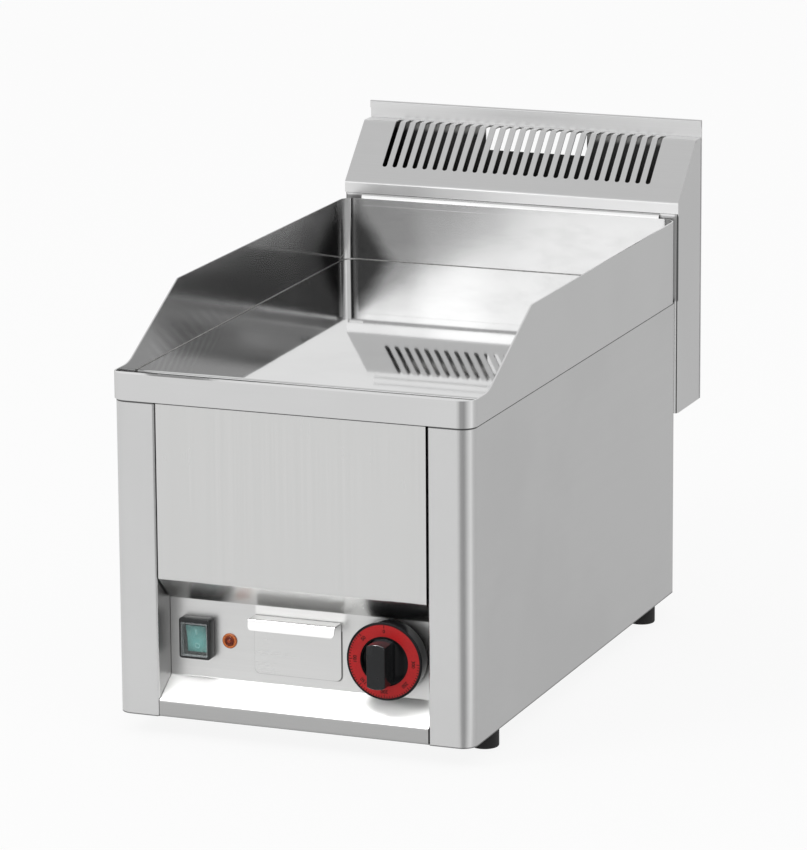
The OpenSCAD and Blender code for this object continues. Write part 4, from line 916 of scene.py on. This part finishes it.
def buildSwitch(v):
    low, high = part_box("switch_frame")
    border = addBlock("switchFrame", low, high)
    editing(True)
    pick("EDGE", lambda a, b: abs(a.x - b.x) < 1e-6 and abs(a.z - b.z) < 1e-6)
    bpy.ops.mesh.bevel(offset=v["cornerRound"], segments=6, affect="EDGES")
    editing(False)
    well = addBlock("well", (low.x + v["wellSide"], low.y - v["wellBeyond"], low.z + v["wellBottom"]),
                    (high.x - v["wellSide"], high.y + v["wellBeyond"], high.z - v["wellTop"]))
    cutAway(border, well)
    soften(border, v["edgeRound"], 3, 40)
    dress(border, "switchBlack", "body", "switch_black", "switch_frame")

    choose()
    bpy.ops.mesh.primitive_cube_add(size=1, location=(0, 0, 0), scale=v["rockerSize"])
    rocker = bpy.context.object
    rocker.name = "rockerPaddle"
    settle(rocker)
    front = -v["rockerSize"][1] / 2
    editing(True)
    bpy.ops.mesh.select_all(action="SELECT")
    bpy.ops.mesh.subdivide(number_cuts=v["rows"] - 1)
    for row in range(1, v["rows"]):                        # the front face is hollowed row by row, most in the middle
        height = (row / v["rows"] - 0.5) * v["rockerSize"][2]
        rise = abs(2 * row / v["rows"] - 1)
        pick("VERT", lambda point: point.y < front + 1e-6 and abs(point.z - height) < 1e-6)
        bpy.ops.transform.translate(value=(0, v["hollow"] * (1 - rise ** v["hollowFall"]), 0))
    editing(False)
    soften(rocker, v["rockerRound"], 3, 40)
    choose()
    bpy.ops.mesh.primitive_torus_add(location=(0, front + v["ringDepth"], v["ringHeight"]), rotation=(pi / 2, 0, 0),
                                     major_radius=v["ringRadius"], minor_radius=v["ringWire"], major_segments=40,
                                     minor_segments=8)
    ring = bpy.context.object
    settle(ring)
    near, far = v["strokeDepth"]
    foot, top = v["strokeHeight"]
    stroke = addBlock("stroke", (-v["strokeHalf"], front + near, foot), (v["strokeHalf"], front + far, top))
    marks = joined("rockerMarks", [ring, stroke])
    middle = frontMiddle(*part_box("switch_rocker"))
    middle.y += v["rockerSeat"]
    for piece in (rocker, marks):
        piece.matrix_world = Matrix.Translation(middle) @ Matrix.Rotation(radians(v["rockerSwing"] / 2), 4, "X")
        settle(piece)
    smooth(marks)
    dress(rocker, "rockerTeal", "rocker", "rocker_teal", "switch_rocker")
    dress(marks, "rockerMark", "rocker", "rocker_teal")


buildSwitch(switch)
print("switch ready")

bead = {"radius": 0.5 * mm, "corner": 12.5 * mm, "sides": 8, "fall": 0.42, "lift": 0.15 * mm}


def buildBead(v):
    # seam run round the plate's two sides and back, in the corner with the pan's walls
    low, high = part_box("griddle_plate")
    middle = (low + high) / 2
    choose()
    bpy.ops.mesh.primitive_plane_add(size=1, location=(middle.x, middle.y, high.z + v["lift"]))
    run = bpy.context.object
    run.name = "plateBead"
    run.scale = (high.x - low.x - v["radius"], high.y - low.y, 1)
    settle(run)
    editing(True)
    pick("VERT", lambda point: point.y > 0)
    bpy.ops.mesh.bevel(offset=v["corner"], segments=v["sides"], affect="VERTICES")
    pick("EDGE", lambda a, b: max(a.y, b.y) < low.y + 1 * mm)
    bpy.ops.mesh.delete(type="EDGE")
    bpy.ops.mesh.select_all(action="SELECT")
    bpy.ops.transform.rotate(value=-radians(v["fall"]), orient_axis="X", center_override=(0, high.y, high.z))
    editing(False)
    bpy.ops.object.convert(target="CURVE")
    run.data.bevel_depth = v["radius"]
    run.data.bevel_resolution = 2
    run.data.use_fill_caps = True
    bpy.ops.object.convert(target="MESH")
    settle(run)
    smooth(run, 50)
    dress(run, "seamWeld", "body", "pan_steel")


buildBead(bead)
print("bead ready")

lamp = {"setBack": 1.9 * mm, "behindPanel": 5.5 * mm, "plugRadius": 3 * mm, "rimRound": 0.5 * mm, "rimDepth": 1.0 * mm,
        # lens from its middle outwards, radius and depth in millimetres: dome, then moulded rings
        "lens": [(0, 0), (1.6, 0.05), (2.0, 0.5), (2.6, 0.55), (3.1, 0.35), (3.9, 0.65), (4.4, 1.25), (5.1, 1.3),
                 (5.4, 0.95)]}


def buildLamp(v):
    low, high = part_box("lamp_lens")
    centre = frontMiddle(low, high)
    centre.y += v["setBack"]
    radius = (high.x - low.x) / 2
    total = high.y - centre.y
    bezel = total - v["behindPanel"]
    profile = [(out * mm, depth * mm) for out, depth in v["lens"]]
    profile += [(radius - v["rimRound"], v["rimDepth"]), (radius, v["rimDepth"] + v["rimRound"]), (radius, bezel),
                (v["plugRadius"], bezel), (v["plugRadius"], total), (0, total)]
    lens = turnProfile("lampLens", profile, centre, 64)
    smooth(lens, 40)
    dress(lens, "lampAmber", "body", "lamp_amber", "lamp_lens")


buildLamp(lamp)
print("lamp ready")
